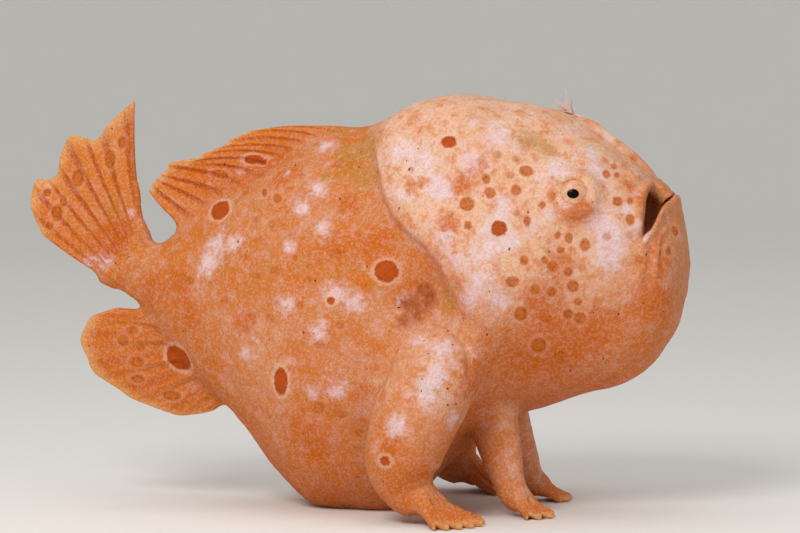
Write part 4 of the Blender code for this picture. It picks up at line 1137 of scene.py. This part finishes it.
def skin_material():
    """Granular orange skin with soft lilac-white patches, brown-orange spots and tiny dark specks."""
    s = Shader("skin")
    uneven = s.plus(s.noise(1.5, 4.0, 0.68), -0.5)
    colour = washed(s, mottled_ground(s, s.attribute("face")), uneven)
    colour, grain_number, grain_distance = granular(s, finned(s, colour))
    # Painted shade in the pit above the arm.
    dark = s.plus(s.attribute("dark"), s.times(uneven, 1.8))
    colour = s.tint(colour, s.step(dark, 0.1, 1.5), 0.85, PIT_SHADE)
    colour = specked(s, spotted(s, colour, grain_number))
    grains = s.bump(s.step(grain_distance, 0.7, 0.05), 0.07)
    fine = s.bump(s.noise(0.22, 2.0, 0.6), 0.05, normal=grains)
    s.finish(colour, fine, {
        "Subsurface Weight": 0.06,
        "Subsurface Radius": (1.0, 0.35, 0.15),
        "Subsurface Scale": 0.0012,
        "Roughness": 0.6,
        "Specular IOR Level": 0.05,
    })
    return s.material


# The eyes and the lure


def eye_material():
    """A skin-coloured iris with faint spokes round a dark pupil, under a clear coat."""
    s = Shader("eye")
    off_axis = s.attribute("off_axis")
    place = s.nodes.new("ShaderNodeCombineXYZ")
    s.put(place.inputs[0], s.times(s.attribute("turn"), 9.0))
    s.put(place.inputs[1], s.times(off_axis, 0.8))
    spokes = s.nodes.new("ShaderNodeTexNoise")
    spokes.noise_dimensions = "2D"
    spokes.inputs["Scale"].default_value = 1.0
    s.links.new(place.outputs[0], spokes.inputs["Vector"])
    iris = s.mix(s.step(spokes.outputs["Fac"], 0.35, 0.65), IRIS_SPOKE, IRIS)
    skin = granular(s, mottled_ground(s, EYE_FACE_SHARE))[0]
    iris = s.mix(s.step(s.plus(off_axis, s.noise(0.8)), 1.3, 1.9), iris, skin)
    colour = s.mix(s.step(off_axis, 1.05, 0.98), iris, PUPIL)
    s.finish(colour, None, {
        "Roughness": 0.5,
        "Specular IOR Level": 0.05,
        "Coat Weight": 0.8,
        "Coat IOR": 1.17,
        "Coat Roughness": 0.04,
    })
    return s.material


def make_eye(side, word, tree, material):
    """An eyeball with its pupil towards the photograph's camera, or its mirror image."""
    centre = eye_centre(RIGHT, tree)
    start, heading = pixel_ray(*PUPIL_PIXEL)
    near = (centre - start) @ heading
    miss = np.linalg.norm(start + heading * near - centre)
    front = start + heading * (near - math.sqrt(max(EYE_RADIUS**2 - miss**2, 0.0))) - centre
    axis = front / np.linalg.norm(front)
    across = np.cross(axis, (0.0, 0.0, 1.0))
    across /= np.linalg.norm(across)
    up = np.cross(across, axis)
    rings, around = 40, 64
    slant = np.linspace(0, math.pi, rings)[:, None]
    turn = np.linspace(0, 2 * math.pi, around, endpoint=False)[None, :]
    points = centre + EYE_RADIUS * (
        (np.cos(slant) + 0 * turn)[..., None] * axis
        + (np.sin(slant) * np.cos(turn))[..., None] * across
        + (np.sin(slant) * np.sin(turn))[..., None] * up
    )
    points = points.reshape(-1, 3)
    if side == LEFT:
        points = far_side(points)
    quads = stacked([grid_cells(rings, around)])
    if side == LEFT:
        quads = quads[:, ::-1]
    eye = mesh_object("eyeball_" + word, points, quads)
    wide, high = PUPIL_RADII
    pupils_out = np.hypot(np.cos(turn) / wide, np.sin(turn) / high)
    off = EYE_RADIUS * np.sin(np.minimum(slant, math.pi / 2)) * pupils_out
    set_attribute(eye.data, "off_axis", (off + 0 * turn).ravel())
    set_attribute(eye.data, "turn", (np.abs((turn - math.pi) / math.pi) * 4 + 0 * slant).ravel())
    eye.data.materials.append(material)
    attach(eye, "root")
    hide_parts("eye_" + word)


def lure_material():
    s = Shader("lure")
    colour = s.mix(s.noise(0.8), LURE, LURE_PALE)
    s.finish(colour, s.bump(s.noise(0.3), 0.04), {
        "Roughness": 0.5,
        "Subsurface Weight": 0.15,
        "Subsurface Scale": 0.0005,
    })
    return s.material


def make_lure(tree):
    """The thin lure that lies along the head, with a tuft of fine filaments at its end."""
    rod = [(x, y, back_height(x, y, tree) + lift, LURE_RADIUS) for (x, y), lift in zip(LURE_PLAN, LURE_LIFTS)]
    parts = [loft(tube_grid(rod, around=12, count=60))]
    tip = np.array(rod[-1][:3])
    random = np.random.default_rng(5)
    out = np.array((-0.1, 0.3, 0.65, 1.0))[:, None]
    for _ in range(LURE_FILAMENTS):
        turn, rise = random.uniform(-1.3, 1.3), random.uniform(0.1, 0.6)
        heading = np.array((-math.cos(turn), 0.8 * math.sin(turn), rise))
        curl = random.normal(0.0, 0.35, 3)
        length = random.uniform(0.7, 1.0) * FILAMENT_LENGTH
        path = np.hstack([tip + length * out * (heading + curl * out), FILAMENT_RADIUS * (1 - 0.75 * out)])
        parts.append(loft(tube_grid(path, around=8, count=10)))
    points, faces, first = [], [], 0
    for part_points, part_faces in parts:
        points.append(part_points)
        faces.append(part_faces + first)
        first += len(part_points)
    lure = mesh_object("lure_tuft", np.vstack(points), np.vstack(faces))
    lure.data.materials.append(lure_material())
    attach(lure, "root")
    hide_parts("lure")


def make_skin(body):
    """The one skin over all the flesh, with its markings as attributes of its points, and its relief."""
    sheets = fins()
    points, quads = surface(skin_field(body, sheets))
    skin = mesh_object("skin", points, quads)
    tree = BVHTree.FromPolygons(points.tolist(), quads.tolist())
    nearby = Nearby(points)
    edge, tone, ring = spot_marks(nearby, tree)
    out, phase = fin_marks(points, sheets)
    streaks = np.where(points[:, 0] < TAIL_FINS_FROM, TAIL_STREAKS, HAND_STREAKS)
    marks = {
        "spot": edge,
        "tone": tone,
        "ring": ring,
        "fin": out,
        "ray": phase,
        "pale": wash(nearby, tree, PALE_WASHES),
        # deep orange patches, partly painted shade on the throat, the low cheek and the chin
        "deep": wash(nearby, tree, DEEP_AND_SHADE_WASHES),
        "ochre": wash(nearby, tree, OCHRE_WASHES),
        # painted shade in the pit above the arm
        "dark": wash(nearby, tree, PIT_SHADE_WASHES),
        "specks": wash(nearby, tree, SPECK_WASHES),
        "face": face_share(points),
        # deeper orange where the skin leans down, partly painted shade
        "under": np.clip(UNDER_FROM - vertex_normals(skin.data)[:, 2], 0, 1),
        # the extra streaks on the high fins are painted fold shadow
        "streaks": streaks + HIGH_FOLD_SHADOWS * (points[:, 2] > HIGH_FROM),
    }
    raised = points + vertex_normals(skin.data) * relief(nearby, tree, out)[:, None]
    on_floor = points[:, 2] < SOLE_HEIGHT
    raised[:, 2] = np.where(on_floor, points[:, 2], np.maximum(raised[:, 2], 0.0))
    skin.data.vertices.foreach_set("co", (raised * MM).astype(np.float32).ravel())
    skin.data.update()
    for name, values in marks.items():
        set_attribute(skin.data, name, values)
    skin.data.materials.append(skin_material())
    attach(skin, "root")
    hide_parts(*FLESH)


def build():
    body = body_tree()
    make_skin(body)
    material = eye_material()
    for side, word in ((RIGHT, "right"), (LEFT, "left")):
        make_eye(side, word, body, material)
    make_lure(body)


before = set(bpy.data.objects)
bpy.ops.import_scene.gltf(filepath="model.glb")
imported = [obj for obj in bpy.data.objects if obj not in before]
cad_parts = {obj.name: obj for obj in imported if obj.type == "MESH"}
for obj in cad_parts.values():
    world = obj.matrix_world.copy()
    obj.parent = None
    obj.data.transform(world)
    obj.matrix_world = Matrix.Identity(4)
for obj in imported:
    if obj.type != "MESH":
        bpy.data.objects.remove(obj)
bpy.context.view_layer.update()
make_camera()
make_floor()
make_lights()
build()
